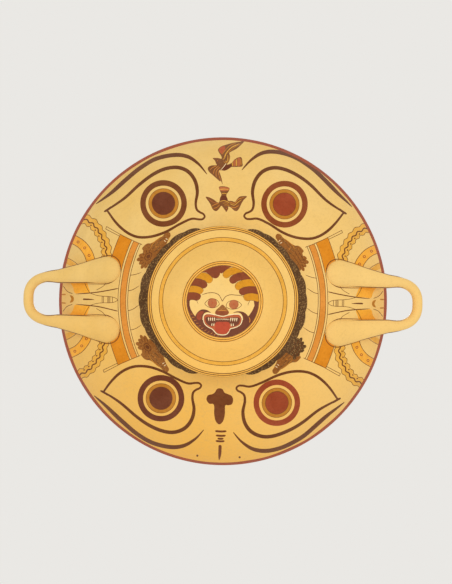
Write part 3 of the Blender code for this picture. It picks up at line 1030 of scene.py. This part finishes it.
def draw_side(wall, flip_x):
    """All that is painted between one handle and the foot, and above and below the handle."""
    centre = (BAND_CENTRE, 0)

    def put(outline, paint):
        wall.fill(moved(outline, flip_x=flip_x), paint)

    def line(points, width, paint="brown_paint", **how):
        wall.line(moved(points, flip_x=flip_x), width, paint, **how)

    def rounded(radius, start, end, width):
        line(arc(centre, radius, start, end), width, smooth=False)

    put(band(centre, FINE_ARC - 0.2, BLOCK_INNER, -LINE_HALF, LINE_HALF), "pale_slip")
    rounded(FINE_ARC, -LONG_HALF, LONG_HALF, 0.56)
    put(band(centre, BAND_INNER, BAND_OUTER, -BAND_HALF, BAND_HALF), "tan_paint")
    rounded(BAND_INNER, -LINE_HALF, LINE_HALF, 0.48)
    rounded(BAND_OUTER, -LINE_HALF, LINE_HALF, 0.48)
    rounded(BLOCK_INNER, -LONG_HALF, LONG_HALF, 0.52)
    for up in (1, -1):
        def above(points):
            return np.array(points, float) * (1, up)

        put(band(centre, BLOCK_INNER + 0.3, BLOCK_OUTER, up * BLOCK_FROM, up * LONG_HALF), "orange_paint")
        rounded(BLOCK_OUTER, up * BLOCK_FROM, up * LONG_HALF, 0.48)
        for width, points in CORNER_LINES:
            line(above(points), width)
        lean = RIBBON_LEAN if flip_x else -RIBBON_LEAN
        draw_ribbon(put, line, up, lean)
        draw_dotted_band(put, line, up, lean)
        put(spline(above(UPPER_LEAF), closed=True), "amber_paint")
        line(above(UPPER_LEAF_EDGE), 0.48)
        put(spline(above(LOWER_LEAF), closed=True), "saffron_paint")
        line(above(LOWER_LEAF_EDGE), 0.48)
        line(above(STEM_LINE), 0.95, start=0.3, end=0.1)
        line(above(BUD_LINE), 0.48)
        line(above(TENDRIL), 0.48)
        line(above(SHORT_DASH), 1.3, "ochre_paint", end=0.3)
        line(above(LONG_TENDRIL), 0.52)
    put(spline(MIDDLE_LEAF, closed=True), "ochre_paint")
    line(MIDDLE_STROKE, 1.5, start=0.1, end=0.8)
    for x in BUD_RUNGS:
        tall = 3.1 - max(0.0, 106.0 - x) * 0.22
        line([(x, tall), (x, -tall)], 0.52)
    for y, lift in CURLS:
        edge = BAND_CENTRE + math.sqrt(FINE_ARC**2 - y**2)
        line([(edge, y), (edge - 4.5, y + lift * 0.25), (edge - 10.5, y + lift)], 0.56, end=0.4)


def draw_ribbon(put, line, up, lean):
    """A wavy ribbon that hangs from the rim beside the handle."""
    path = moved(spline(np.array(RIBBON) * (1, up), step=RIBBON_STEP), turn=lean)
    side, length = directions(path)[1], length_along(path)
    wave = np.sin(length * 2 * math.pi / RIBBON_WAVE)
    left = path + side * (RIBBON_HALF_WIDTH + RIBBON_RIPPLE * wave)[:, None]
    right = path - side * (RIBBON_HALF_WIDTH - RIBBON_RIPPLE * wave)[:, None]
    put(np.vstack([left, right[::-1]]), "amber_paint")
    line(left, 0.52, smooth=False)
    line(right, 0.52, smooth=False)
    line(path + side * (0.2 + 0.8 * wave)[:, None], 1.15, start=0.05, end=0.05, smooth=False)
    for bay in RIBBON_BAYS:
        at = int(np.argmin(abs(length - (bay + 0.5 + 0.25 * up) * RIBBON_WAVE)))
        put(circle(path[at] + side[at] * up * BAY_DOT_ASIDE, BAY_DOT_RADIUS), "maroon_paint")


def draw_dotted_band(put, line, up, lean):
    """A band with small circles, between the ribbon and the handle."""
    path = moved(spline(np.array(DOTTED_BAND) * (1, up), step=RIBBON_STEP), turn=lean)
    side = directions(path)[1] * DOTTED_HALF_WIDTH
    left, right = path + side, path - side
    put(np.vstack([left, right[::-1]]), "saffron_paint")
    line(left, 0.56, smooth=False)
    line(right, 0.56, smooth=False)
    for share in DOTTED_PLACES:
        spot = path[int(share * len(path))]
        put(annulus(spot, 1.3, 0.7), "brick_paint")


PAD_LINE_GAP = 0.8
PAD_LINE_WIDTH = 0.8
PAD_LINE_STEPS = 59
RIM_BAND_FROM = 149.9
RIM_BAND_PAST = 2.0


def draw_pads(wall):
    """A fine line round the foot of each handle's arms."""
    distances = [(LINED_FROM + LINE_TAPER) * (1.0 - share) ** 2 for share in shares(PAD_LINE_STEPS)]
    edge = [(distance, 1) for distance in distances] + [(distance, -1) for distance in distances[-2::-1]]
    outline = []
    for distance, hand in edge:
        middle = arm_plan(distance)
        place = np.array([middle.x, middle.y + hand * (half_width(distance) + PAD_LINE_GAP)])
        height = wall_height(float(np.hypot(*place)))
        outline.append(place * (CAMERA_DISTANCE + RIM_HEIGHT) / (CAMERA_DISTANCE + height))
    for flip_x in (False, True):
        for flip_y in (False, True):
            placed = moved(outline, flip_x=flip_x, flip_y=flip_y)
            line = stroke(placed, PAD_LINE_WIDTH, start=0.2, end=0.2, smooth=False)
            wall.fill(line, "brown_paint", wander=False)


def draw_wall(wall):
    """Everything on the bowl's outside."""
    wall.fill(circle((0, 0), RIM_BAND_FROM), "cream_slip")
    for flip_x in (False, True):
        draw_side(wall, flip_x)
    draw_pads(wall)
    for place in BEAST_PLACES:
        draw_beast(wall, *place)
    for flip_x in (False, True):
        draw_body(wall, flip_x)
    for place in EYE_PLACES:
        draw_eye(wall, *place)
    draw_birds(wall)
    draw_nose(wall)
    wall.ring(RIM_RADIUS + RIM_BAND_PAST, RIM_BAND_FROM, "rim_paint")


# The face in the foot's medallion, laid out on a finer unit
FACE_UNIT = 0.5376
FACE_ROUND = 62.0
FACE_STEP = 0.6
LOCK_STEP = 0.5
LEAST_HALF = 0.1
BEARD_EDGE = (
    (52, 5), (53.6, 0.5), (54.6, -6.5), (51.5, -14.5), (46, -23), (38, -31), (0, -36), (-38, -32),
    (-47.5, -27), (-51.5, -21.5), (-55.5, -14.5), (-57.4, -7.5), (-57.6, -0.5), (-56, 2.6), (-52.6, 4.6),
    (-48, 5),
)
# The beard's two upper corners and the light patch in one of them
JAWS = (
    ("maroon_paint", (
        (-47.5, -27), (-44.5, -20.5), (-39.5, -15.6), (-33.5, -14), (-26.5, -15.4), (-20.6, -19.6),
        (-26.5, -18.6), (-31.5, -20.5), (-34.5, -25.5), (-36, -33), (-44, -37),
    )),
    ("maroon_paint", (
        (45, -28), (41, -21.5), (34, -17.6), (25.5, -16.8), (18, -19.2), (26, -18.8), (31, -20.6),
        (34.5, -26), (36, -33), (44, -38),
    )),
    ("brick_paint", (
        (-45, -25), (-42.8, -20), (-38, -17.4), (-33, -17.8), (-33.8, -20.6), (-36.6, -24.4), (-37.6, -31),
        (-42, -33), (-45.2, -29.6),
    )),
)
JAW_LINE = ((45.2, -26.6), (47.4, -31), (46.6, -36))
LOCKS = (
    ("golden_paint", (36, 52.5), (21, 53.4), (9, 49.8), (1.6, 41.4)),
    ("hair_paint", (47, 44), (33, 44.6), (20.4, 40.2), (12.8, 32.6)),
    ("golden_paint", (56, 32), (42, 33.2), (29.6, 29), (22.8, 21.8)),
    ("hair_paint", (61, 20), (46, 21), (35.4, 18.4), (29.4, 13.6)),
    ("golden_paint", (62, 6.5), (51, 9), (42.4, 8), (36.6, 4.4)),
    ("golden_paint", (-50, 42), (-38, 43.2), (-28, 40.8), (-21, 32.6)),
    ("hair_paint", (-57, 31.5), (-45, 32.8), (-35.6, 29.6), (-30.8, 23)),
    ("golden_paint", (-61, 20), (-49, 20.4), (-41, 18), (-36.6, 13.6)),
    ("hair_paint", (-62, 8.4), (-51, 8.8), (-44.4, 7), (-40, 3.8)),
)
LOCK_HALF_WIDTH = 6.1
LOCK_EDGE = 0.6
LOCK_TIP = 0.16
FOREHEAD_HAIR = (
    (-42, 47), (-37, 50.2), (-30, 49.6), (-25, 46.6), (-20.6, 42.4), (-16.8, 40.2), (-12.8, 39.8),
    (-8.8, 41.6), (-6, 46), (-5.4, 49.4), (-3, 48.2), (-0.8, 49.8), (3, 53.2), (8, 57), (14, 60),
)
MOUTH = (
    (-34.5, -28.5), (-31.5, -22.5), (-24.5, -20.5), (-12.5, -22.5), (0, -25), (11.5, -22.5), (23.5, -21),
    (30.5, -22.5), (34, -28.5), (33.5, -35.5), (29.5, -41.5), (21.5, -45.5), (14.5, -47.5), (11.5, -52.5),
    (7.5, -57), (-0.5, -58.5), (-9.5, -57), (-14.5, -52.5), (-18.5, -48.5), (-26.5, -44.5),
    (-32.5, -38.5),
)
LEFT_EYE = (
    (-31.5, -4), (-24.5, 3.4), (-17.5, 5), (-9.8, 2.2), (-5.6, -4.6), (-10.5, -9.8), (-18.5, -11.8),
    (-26.5, -9.4),
)
RIGHT_EYE = (
    (5.6, -8.4), (8.8, -0.6), (18.5, 3), (26.5, 0.4), (32.4, -5.6), (27.2, -11.4), (18.5, -13.8),
    (9.8, -12.4),
)
# Each eye with its iris's place
EYES = ((LEFT_EYE, (-18.0, -3.2)), (RIGHT_EYE, (19.0, -5.0)))
LEFT_LINE = ((-37, 10.6), (-34.5, 11.6), (-24.5, 14.4), (-14.5, 14.4), (-6.5, 10.5), (-1, 0.4))
RIGHT_LINE = ((36, 9), (31.5, 10.6), (21.5, 11.6), (12.5, 12), (4.5, 8.5), (-0.4, 1.0))
SNOUT = (
    (-0.5, -5.5), (4.5, -9.5), (9.5, -15.5), (10.8, -20), (6, -24.5), (-1, -26), (-8.5, -24.6),
    (-13.2, -20.5), (-11.5, -15), (-6, -10),
)
SNOUT_TIP = (
    (-11.6, -17), (0, -16.4), (9.8, -17.2), (10, -20.2), (5.6, -23.8), (-1, -25.2), (-8.2, -23.8),
    (-12.4, -20.2),
)
SNOUT_LINE = ((-8.6, -16.4), (0, -15.6), (7.4, -16.6))
GULLET = (
    (-28, -27), (-14, -27.4), (0, -29.6), (14, -27.4), (27.5, -27), (30, -32), (27, -39), (18, -43),
    (12, -38), (0, -37), (-12, -38), (-18, -43), (-26, -40), (-30, -33),
)
TONGUE = (
    (-11, -36), (0, -35.4), (11, -36), (12.6, -44), (11.6, -50.4), (6, -55), (-6, -55), (-12, -50.4),
    (-13, -44),
)
UPPER_FANGS = (14.5, 18.0, 21.5, 24.8)
LOWER_FANGS = (15.5, 19.0)
EAR_LINES = ((-1, 2.0), (1, 0.4))
# The fringe of the beard: how many strokes, where they start and their spacing, in degrees
FRINGE = 11
FRINGE_FROM = 202.0
FRINGE_SPACING = 6.0
FRINGE_LEAN = 0.04


def round_points(radius, start, end, step):
    """Points of a round outline about the middle, between two angles in degrees."""
    count = int(round(abs(end - start) / step))
    turns = np.radians(np.linspace(start, end, count + 1))
    return [(radius * math.cos(turn), radius * math.sin(turn)) for turn in turns]


def draw_face(foot):
    """A round, staring face with bared teeth, of the kind that was painted in many such cups."""
    def grid(points):
        return np.array(points, float) * FACE_UNIT

    def blob(points, paint):
        foot.blob(grid(points), paint, FACE_STEP)

    def line(points, width, paint, start=0.2, end=0.3):
        foot.line(grid(points), width, paint, start=start, end=end, step=FACE_STEP)

    foot.fill(circle((0, 0), FACE_ROUND * FACE_UNIT), "pale_slip")
    foot.fill(grid(round_points(FACE_ROUND, 170, 367, 4) + list(BEARD_EDGE)), "maroon_paint")
    for paint, points in JAWS:
        blob(points, paint)
    line(JAW_LINE, 0.6, "tan_paint")
    hair = round_points(FACE_ROUND, 76, 132, 4) + [(-42, 47)] + list(FOREHEAD_HAIR)
    foot.fill(grid(hair), "hair_paint")
    for paint, *points in LOCKS:
        path = spline(grid(points), step=LOCK_STEP)
        share = np.linspace(0, 1, len(path))
        half = LOCK_HALF_WIDTH * FACE_UNIT * np.sqrt(np.clip((1.0 - share) / LOCK_TIP, 0.0, 1.0))
        foot.fill(stroke(path, half + LOCK_EDGE * FACE_UNIT, smooth=False), "brown_paint")
        foot.fill(stroke(path, np.maximum(half, LEAST_HALF), smooth=False), paint)
    line(LEFT_LINE, 0.6, "brown_paint", end=0.0)
    line(RIGHT_LINE, 0.6, "brown_paint", end=0.0)
    for almond, (x, y) in EYES:
        outline = spline(grid(almond), closed=True, step=FACE_STEP)
        foot.fill(outline, "brown_paint")
        foot.fill(shrunk(outline, 0.5), "pale_slip")
        foot.fill(circle(grid([(x, y)])[0], 4.25), "rose_paint")
        foot.fill(annulus(grid([(x, y)])[0], 4.35, 4.05), "brick_paint")
        foot.fill(circle(grid([(x, y + 0.6)])[0], 0.8), "lip_paint")
    blob(SNOUT, "hide_paint")
    blob(SNOUT_TIP, "russet_paint")
    line(SNOUT_LINE, 0.5, "tan_paint", start=0.3)
    mouth = spline(grid(MOUTH), closed=True, step=FACE_STEP)
    foot.fill(mouth, "white_paint")
    foot.fill(shrunk(mouth, 0.75), "brown_paint")
    foot.fill(shrunk(mouth, 0.95), "lip_paint")
    blob(GULLET, "maroon_paint")
    blob(TONGUE, "tongue_paint")
    for side in (-1, 1):
        for x in UPPER_FANGS:
            line([(side * x, -27.8), (side * (x - 0.8), -34.0)], 0.9, "white_paint", end=0.8)
        for x in LOWER_FANGS:
            line([(side * x, -42.2), (side * (x - 0.6), -37.4)], 0.85, "white_paint", end=0.9)
    for x in range(-11, 12, 2):
        line([(x, -29.6), (x, -32.2)], 0.55, "white_paint", end=0.8)
    for side, y in EAR_LINES:
        line([(side * 46.4, y + 2.4), (side * 44.2, y - 3), (side * 42.8, y - 7.0)], 0.4, "brown_paint")
    for step in range(FRINGE):
        angle = math.radians(FRINGE_FROM + FRINGE_SPACING * step)
        outside = 60.6 * math.cos(angle), 60.6 * math.sin(angle)
        inside = 56.4 * math.cos(angle + FRINGE_LEAN), 56.4 * math.sin(angle + FRINGE_LEAN)
        line([outside, inside], 0.4, "tan_paint", end=0.8)


# The foot's grounds as (radius, paint), and its rings as (outer, inner, paint), from the edge inwards
FOOT_GROUNDS = ((70.0, "yellow_paint"), (66.9, "warm_slip"))
FOOT_RINGS = (
    (69.0, 68.3, "brown_paint"), (67.3, 66.6, "brown_paint"), (59.9, 59.4, "brown_paint"),
    (59.4, 56.3, "amber_paint"), (56.3, 55.8, "brown_paint"),
)
MEDALLION_RINGS = (
    (37.6, 37.1, "brown_paint"), (37.1, 33.8, "yellow_paint"), (35.75, 35.2, "brown_paint"),
    (33.85, 33.4, "brown_paint"),
)


def draw_foot(foot):
    """The foot seen from beneath: its rings and its medallion."""
    for radius, paint in FOOT_GROUNDS:
        foot.fill(circle((0, 0), radius), paint)
    for outer, inner, paint in FOOT_RINGS:
        foot.ring(outer, inner, paint)
    draw_face(foot)
    for outer, inner, paint in MEDALLION_RINGS:
        foot.ring(outer, inner, paint)


# Surfaces: how fine each pattern is
BROAD_SCALE = 16.0
CLOUD_SCALE = 60.0
GRAIN_SCALE = 420.0
SPECK_SCALE = 1500.0
WHEEL_SCALE = 260.0
HIDE_SCALE = 700.0
CRACK_SCALE = 95.0
CRACK_BEND_SCALE = 70.0
CRACK_BEND = 0.012
CRACK_WIDTH = 0.022
BUMP_STRENGTH = 0.22
BUMP_DISTANCE = 0.0004
SHINE = 0.10
# What the slip warms to in patches and towards the nose, the painted light that pales it towards one
# handle, and from where to where
WARM_PATCH = (230, 182, 88)
NOSE_TONE = (244, 181, 74)
PAINTED_LIGHT_TONE = (246, 203, 122)
TONE_FROM = -0.02
TONE_TO = 0.15


def linear(value):
    """One 0-255 display value as a share of light."""
    share = value / 255.0
    return share / 12.92 if share <= 0.04045 else ((share + 0.055) / 1.055) ** 2.4


def colour(triple, scale=1.0):
    """A display colour for a shader."""
    return tuple(min(1.0, linear(value) * scale) for value in triple) + (1.0,)


class Nodes:
    """Short calls that build one material's nodes."""

    def __init__(self, material):
        material.use_nodes = True
        self.tree = material.node_tree
        self.shader = self.tree.nodes["Principled BSDF"]

    def add(self, kind, **values):
        node = self.tree.nodes.new(kind)
        for name, value in values.items():
            setattr(node, name, value)
        return node

    def link(self, source, target):
        self.tree.links.new(source, target)

    def noise(self, place, scale, detail=4.0, roughness=0.55):
        node = self.add("ShaderNodeTexNoise")
        node.inputs["Scale"].default_value = scale
        node.inputs["Detail"].default_value = detail
        node.inputs["Roughness"].default_value = roughness
        self.link(place, node.inputs["Vector"])
        return node.outputs["Fac"]

    def ranged(self, value, low, high, to_low=0.0, to_high=1.0):
        node = self.add("ShaderNodeMapRange", clamp=True)
        ends = {"From Min": low, "From Max": high, "To Min": to_low, "To Max": to_high}
        for socket, number in ends.items():
            node.inputs[socket].default_value = number
        self.link(value, node.inputs["Value"])
        return node.outputs["Result"]

    def mixed(self, factor, first, second, blend="MIX"):
        node = self.add("ShaderNodeMix", data_type="RGBA", blend_type=blend)
        self.link(factor, node.inputs["Factor"])
        for socket, value in ((node.inputs[6], first), (node.inputs[7], second)):
            if isinstance(value, tuple):
                socket.default_value = value
            else:
                self.link(value, socket)
        return node.outputs[2]

    def product(self, first, second, operation="MULTIPLY"):
        node = self.add("ShaderNodeMath", operation=operation)
        for socket, value in zip(node.inputs, (first, second)):
            if isinstance(value, (int, float)):
                socket.default_value = value
            else:
                self.link(value, socket)
        return node.outputs[0]


def wheel_marks(nodes, place):
    """Fine rings about the axis, as a potter's fingers leave them."""
    flat = nodes.add("ShaderNodeVectorMath", operation="MULTIPLY")
    nodes.link(place, flat.inputs[0])
    flat.inputs[1].default_value = (1.0, 1.0, 0.0)
    reach = nodes.add("ShaderNodeVectorMath", operation="LENGTH")
    nodes.link(flat.outputs["Vector"], reach.inputs[0])
    parts = nodes.add("ShaderNodeSeparateXYZ")
    nodes.link(place, parts.inputs[0])
    rings = nodes.add("ShaderNodeCombineXYZ")
    nodes.link(reach.outputs["Value"], rings.inputs["X"])
    nodes.link(parts.outputs["Z"], rings.inputs["Y"])
    return nodes.noise(rings.outputs["Vector"], WHEEL_SCALE, 2.0, 0.4)


def slip_tones(nodes, place, broad, shade):
    """The slip's change of tone in patches and towards the nose, and painted light paling it towards one
    handle.
    """
    patched = nodes.ranged(broad, 0.35, 0.68, 0.0, 0.55)
    warm = nodes.mixed(patched, shade, colour(WARM_PATCH))
    parts = nodes.add("ShaderNodeSeparateXYZ")
    nodes.link(place, parts.inputs[0])
    nearer = nodes.ranged(parts.outputs["Y"], TONE_FROM, TONE_TO, 0.0, 0.92)
    shade = nodes.mixed(nearer, warm, colour(NOSE_TONE))
    # Painted light: the slip turns paler towards the handle on the +X side, as a lamp on that side would
    # make it
    beside = nodes.ranged(parts.outputs["X"], TONE_FROM, TONE_TO, 0.0, 0.7)
    return nodes.mixed(beside, shade, colour(PAINTED_LIGHT_TONE))


def crackle(nodes, place):
    """Fine cracks: 1 along each and 0 between them."""
    cracks = nodes.add("ShaderNodeTexVoronoi", feature="DISTANCE_TO_EDGE")
    cracks.inputs["Scale"].default_value = CRACK_SCALE
    bent = nodes.add("ShaderNodeMix", data_type="VECTOR")
    wander = nodes.add("ShaderNodeTexNoise")
    wander.inputs["Scale"].default_value = CRACK_BEND_SCALE
    nodes.link(place, wander.inputs["Vector"])
    bent.inputs["Factor"].default_value = CRACK_BEND
    nodes.link(place, bent.inputs[4])
    nodes.link(wander.outputs["Color"], bent.inputs[5])
    nodes.link(bent.outputs[1], cracks.inputs["Vector"])
    return nodes.ranged(cracks.outputs["Distance"], 0.0, CRACK_WIDTH, 1.0, 0.0)


def paint_material(name, triple, ground=False):
    """Slip or slip paint on fired clay: mottled, grainy, specked and finely crackled, with wheel marks in
    its relief.
    """
    made = bpy.data.materials.new(name)
    nodes = Nodes(made)
    place = nodes.add("ShaderNodeTexCoord").outputs["Object"]
    broad = nodes.noise(place, BROAD_SCALE, 3.0)
    cloudy = nodes.noise(place, CLOUD_SCALE, 5.0, 0.6)
    grain = nodes.noise(place, GRAIN_SCALE, 3.0, 0.6)
    speck = nodes.noise(place, SPECK_SCALE, 2.0, 0.5)
    base = colour(triple)
    deep = colour(triple, 0.74 if ground else 0.66)
    light = colour(tuple(min(255, value + (8 if ground else 14)) for value in triple))
    shade = nodes.mixed(nodes.ranged(cloudy, 0.36, 0.72), base, light)
    if name in SPECKLED:
        scales = nodes.add("ShaderNodeTexVoronoi")
        scales.inputs["Scale"].default_value = HIDE_SCALE
        nodes.link(place, scales.inputs["Vector"])
        spotted = nodes.ranged(scales.outputs["Distance"], 0.22, 0.42, 0.75, 0.0)
        shade = nodes.mixed(spotted, shade, colour(SPECKLED[name]))
    if ground:
        shade = slip_tones(nodes, place, broad, shade)
    shade = nodes.mixed(nodes.ranged(grain, 0.50, 0.78, 0.0, 0.30 if ground else 0.5), shade, deep)
    shade = nodes.mixed(nodes.ranged(speck, 0.66, 0.74, 0.0, 0.30), shade, deep)
    crack = crackle(nodes, place)
    faint = nodes.product(crack, nodes.ranged(broad, 0.42, 0.62, 0.0, 0.34 if ground else 0.45))
    shade = nodes.mixed(faint, shade, deep)
    nodes.link(shade, nodes.shader.inputs["Base Color"])
    rough = nodes.ranged(cloudy, 0.3, 0.75, 0.40 if ground else 0.30, 0.62 if ground else 0.5)
    nodes.link(rough, nodes.shader.inputs["Roughness"])
    relief = nodes.product(nodes.product(grain, 0.5), nodes.product(crack, -0.35), "ADD")
    relief = nodes.product(relief, nodes.product(cloudy, 0.8), "ADD")
    relief = nodes.product(relief, nodes.product(wheel_marks(nodes, place), 1.3), "ADD")
    bump = nodes.add("ShaderNodeBump")
    bump.inputs["Strength"].default_value = BUMP_STRENGTH
    bump.inputs["Distance"].default_value = BUMP_DISTANCE
    nodes.link(relief, bump.inputs["Height"])
    nodes.link(bump.outputs["Normal"], nodes.shader.inputs["Normal"])
    nodes.shader.inputs["Specular IOR Level"].default_value = SHINE
    return made


# Paints along the inside, from its middle, as (where each ends, paint)
INSIDE_BANDS = (
    (36.0, "cream_slip"), (36.6, "ochre_paint"), (44.0, "cream_slip"), (44.8, "brown_paint"),
    (48.6, "amber_paint"), (49.4, "brown_paint"), (170.0, "cream_slip"), (170.7, "brown_paint"),
    (174.0, "cream_slip"), (200.0, "rim_paint"),
)
# Paints along the stem and the foot, from the wall, in the same way
STEM_BANDS = (
    (11.6, "cream_slip"), (20.6, "brown_paint"), (66.0, "cream_slip"), (66.8, "ochre_paint"),
    (72.6, "cream_slip"), (73.8, "brown_paint"), (75.0, "cream_slip"), (100.0, "rim_paint"),
)


def painted_wall(clay, under, rim):
    """Adds the bowl's painted outside between its two border rings."""
    first = math.asin(PAINTED_FROM / RIM_RADIUS)
    radii = [PAINTED_FROM]
    for step in range(1, WALL_RINGS + 1):
        radii.append(RIM_RADIUS * math.sin(first + (math.pi / 2 - first) * step / WALL_RINGS))
    reaches = np.linspace(RIM_RADIUS, PAINTED_FROM - 1.0, WALL_SAMPLES)
    wall = Painting(Profile([(radius, wall_height(radius)) for radius in reaches]), "rim_paint")
    draw_wall(wall)
    clay.painted(wall, radii, under, rim)


def painted_foot(clay, foot_edge):
    """Adds the foot's painted underside inside its border ring."""
    below = Profile(softened(underside()))
    foot = Painting(below, "brown_paint")
    draw_foot(foot)
    rings = sorted(set(round(float(radius), 4) for radius in below.points[:, 0] if radius > 1.0))
    radii = [0.0]
    for low, high in zip([0.0] + rings, rings):
        pieces = max(1, int((high - low) / FOOT_SPACING))
        radii += [low + (high - low) * piece / pieces for piece in range(1, pieces + 1)]
    clay.painted(foot, radii, None, foot_edge)


def cup_mesh(clay, materials):
    """The clay with its two handles as one mesh, smooth, with the clay's own normals."""
    points, faces, paints = list(clay.points), list(clay.faces), list(clay.paints)
    for direction in (1.0, -1.0):
        more, their_faces, their_paints = handle_mesh(direction)
        start = len(points)
        points += more
        faces += [tuple(start + corner for corner in face) for face in their_faces]
        paints += their_paints
    mesh = bpy.data.meshes.new("painted_kylix")
    mesh.from_pydata([tuple(value * MM for value in point) for point in points], [], faces)
    mesh.polygons.foreach_set("material_index", np.array(paints, np.int32))
    for material in materials:
        mesh.materials.append(material)
    mesh.shade_smooth()
    mesh.update()
    found = np.zeros(len(mesh.vertices) * 3, np.float32)
    mesh.vertices.foreach_get("normal", found)
    normals = found.reshape(-1, 3)
    normals[:len(clay.normals)] = np.array(clay.normals)
    mesh.normals_split_custom_set_from_vertices([tuple(normal) for normal in normals])
    return mesh


def build_cup(materials):
    """The whole cup as one piece."""
    clay = Clay()
    out, up = wall_normal(RIM_RADIUS)
    rim = clay.ring(RIM_RADIUS, RIM_HEIGHT, out, up)
    under = clay.ring(PAINTED_FROM, wall_height(PAINTED_FROM), *wall_normal(PAINTED_FROM))
    bevel_out = math.sqrt(0.5)
    foot_edge = clay.ring(FOOT_RADIUS, FOOT_BEVEL, bevel_out, -bevel_out)
    clay.strip(Profile(inner_face() + lip()), INSIDE_BANDS, last=rim)
    clay.strip(Profile(softened(stem_and_foot())), STEM_BANDS, first=under, last=foot_edge)
    painted_wall(clay, under, rim)
    painted_foot(clay, foot_edge)
    made = bpy.data.objects.new("painted_kylix", cup_mesh(clay, materials))
    bpy.context.scene.collection.objects.link(made)
    return made


# The floor, the lights and the camera
FLOOR_HALF = 3.0
FLOOR_COLOURS = ((226, 223, 217), (232, 229, 223))
FLOOR_SCALE = 6.0
FLOOR_ROUGHNESS = 0.9
WORLD_COLOUR = (245, 243, 239)
WORLD_STRENGTH = 0.9
LIT_PLACE = (0, 0, 0.06)
# Each light: its name, place, size and power
LIGHTS = (("light_below", (0.2, -0.35, -3.5), 2.2, 42.0), ("light_above", (0.2, -0.3, 3.2), 1.0, 30.0))
SENSOR_WIDTH = 36.0
FAR_END = 20.0


def build_floor():
    """A pale floor that the camera beneath it looks past, and that lets light through."""
    floor_mesh = bpy.data.meshes.new("floor")
    corners = ((-1, -1), (1, -1), (1, 1), (-1, 1))
    points = [(x * FLOOR_HALF, y * FLOOR_HALF, -FLOOR_GAP * MM) for x, y in corners]
    floor_mesh.from_pydata(points, [], [(0, 1, 2, 3)])
    floor = bpy.data.objects.new("floor", floor_mesh)
    bpy.context.scene.collection.objects.link(floor)
    plaster = bpy.data.materials.new("pale_floor")
    nodes = Nodes(plaster)
    place = nodes.add("ShaderNodeTexCoord").outputs["Object"]
    cloudy = nodes.noise(place, FLOOR_SCALE)
    shade = nodes.mixed(cloudy, *(colour(triple) for triple in FLOOR_COLOURS))
    nodes.link(shade, nodes.shader.inputs["Base Color"])
    nodes.shader.inputs["Roughness"].default_value = FLOOR_ROUGHNESS
    floor_mesh.materials.append(plaster)
    floor.visible_shadow = False
    floor.visible_diffuse = False
    floor.visible_glossy = False
    floor.visible_transmission = False


def build_lights():
    """A pale surrounding, and soft lights above and below."""
    world = bpy.data.worlds.new("studio")
    world.use_nodes = True
    surrounding = world.node_tree.nodes["Background"]
    surrounding.inputs["Color"].default_value = colour(WORLD_COLOUR)
    surrounding.inputs["Strength"].default_value = WORLD_STRENGTH
    bpy.context.scene.world = world
    for name, place, size, power in LIGHTS:
        light = bpy.data.lights.new(name, "AREA")
        light.shape = "DISK"
        light.size = size
        light.energy = power
        made = bpy.data.objects.new(name, light)
        made.location = place
        made.rotation_euler = (Vector(LIT_PLACE) - Vector(place)).to_track_quat("-Z", "Y").to_euler()
        bpy.context.scene.collection.objects.link(made)


def build_camera():
    """The camera straight below, turned by the drawing's slant."""
    view = bpy.data.cameras.new("camera")
    view.lens = CAMERA_LENS
    view.sensor_width = SENSOR_WIDTH
    view.clip_start = (CAMERA_DISTANCE - FLOOR_GAP / 2) * MM
    view.clip_end = FAR_END
    camera = bpy.data.objects.new("camera", view)
    cos, sin = math.cos(DRAWING_SLANT), math.sin(DRAWING_SLANT)
    right, up, back = Vector((cos, -sin, 0)), Vector((-sin, -cos, 0)), Vector((0, 0, -1))
    camera.matrix_world = (
        (right.x, up.x, back.x, 0), (right.y, up.y, back.y, 0), (right.z, up.z, back.z, 0), (0, 0, 0, 1),
    )
    camera.location = (right * FRAME_SHIFT_RIGHT + up * FRAME_SHIFT_UP + back * CAMERA_DISTANCE) * MM
    bpy.context.scene.collection.objects.link(camera)
    bpy.context.scene.camera = camera
    bpy.context.scene.view_settings.view_transform = "Standard"


build_floor()
build_lights()
build_camera()
cup = build_cup([paint_material(name, triple, name.endswith("slip")) for name, triple in PAINTS.items()])
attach(cup, "root")
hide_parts("kylix")
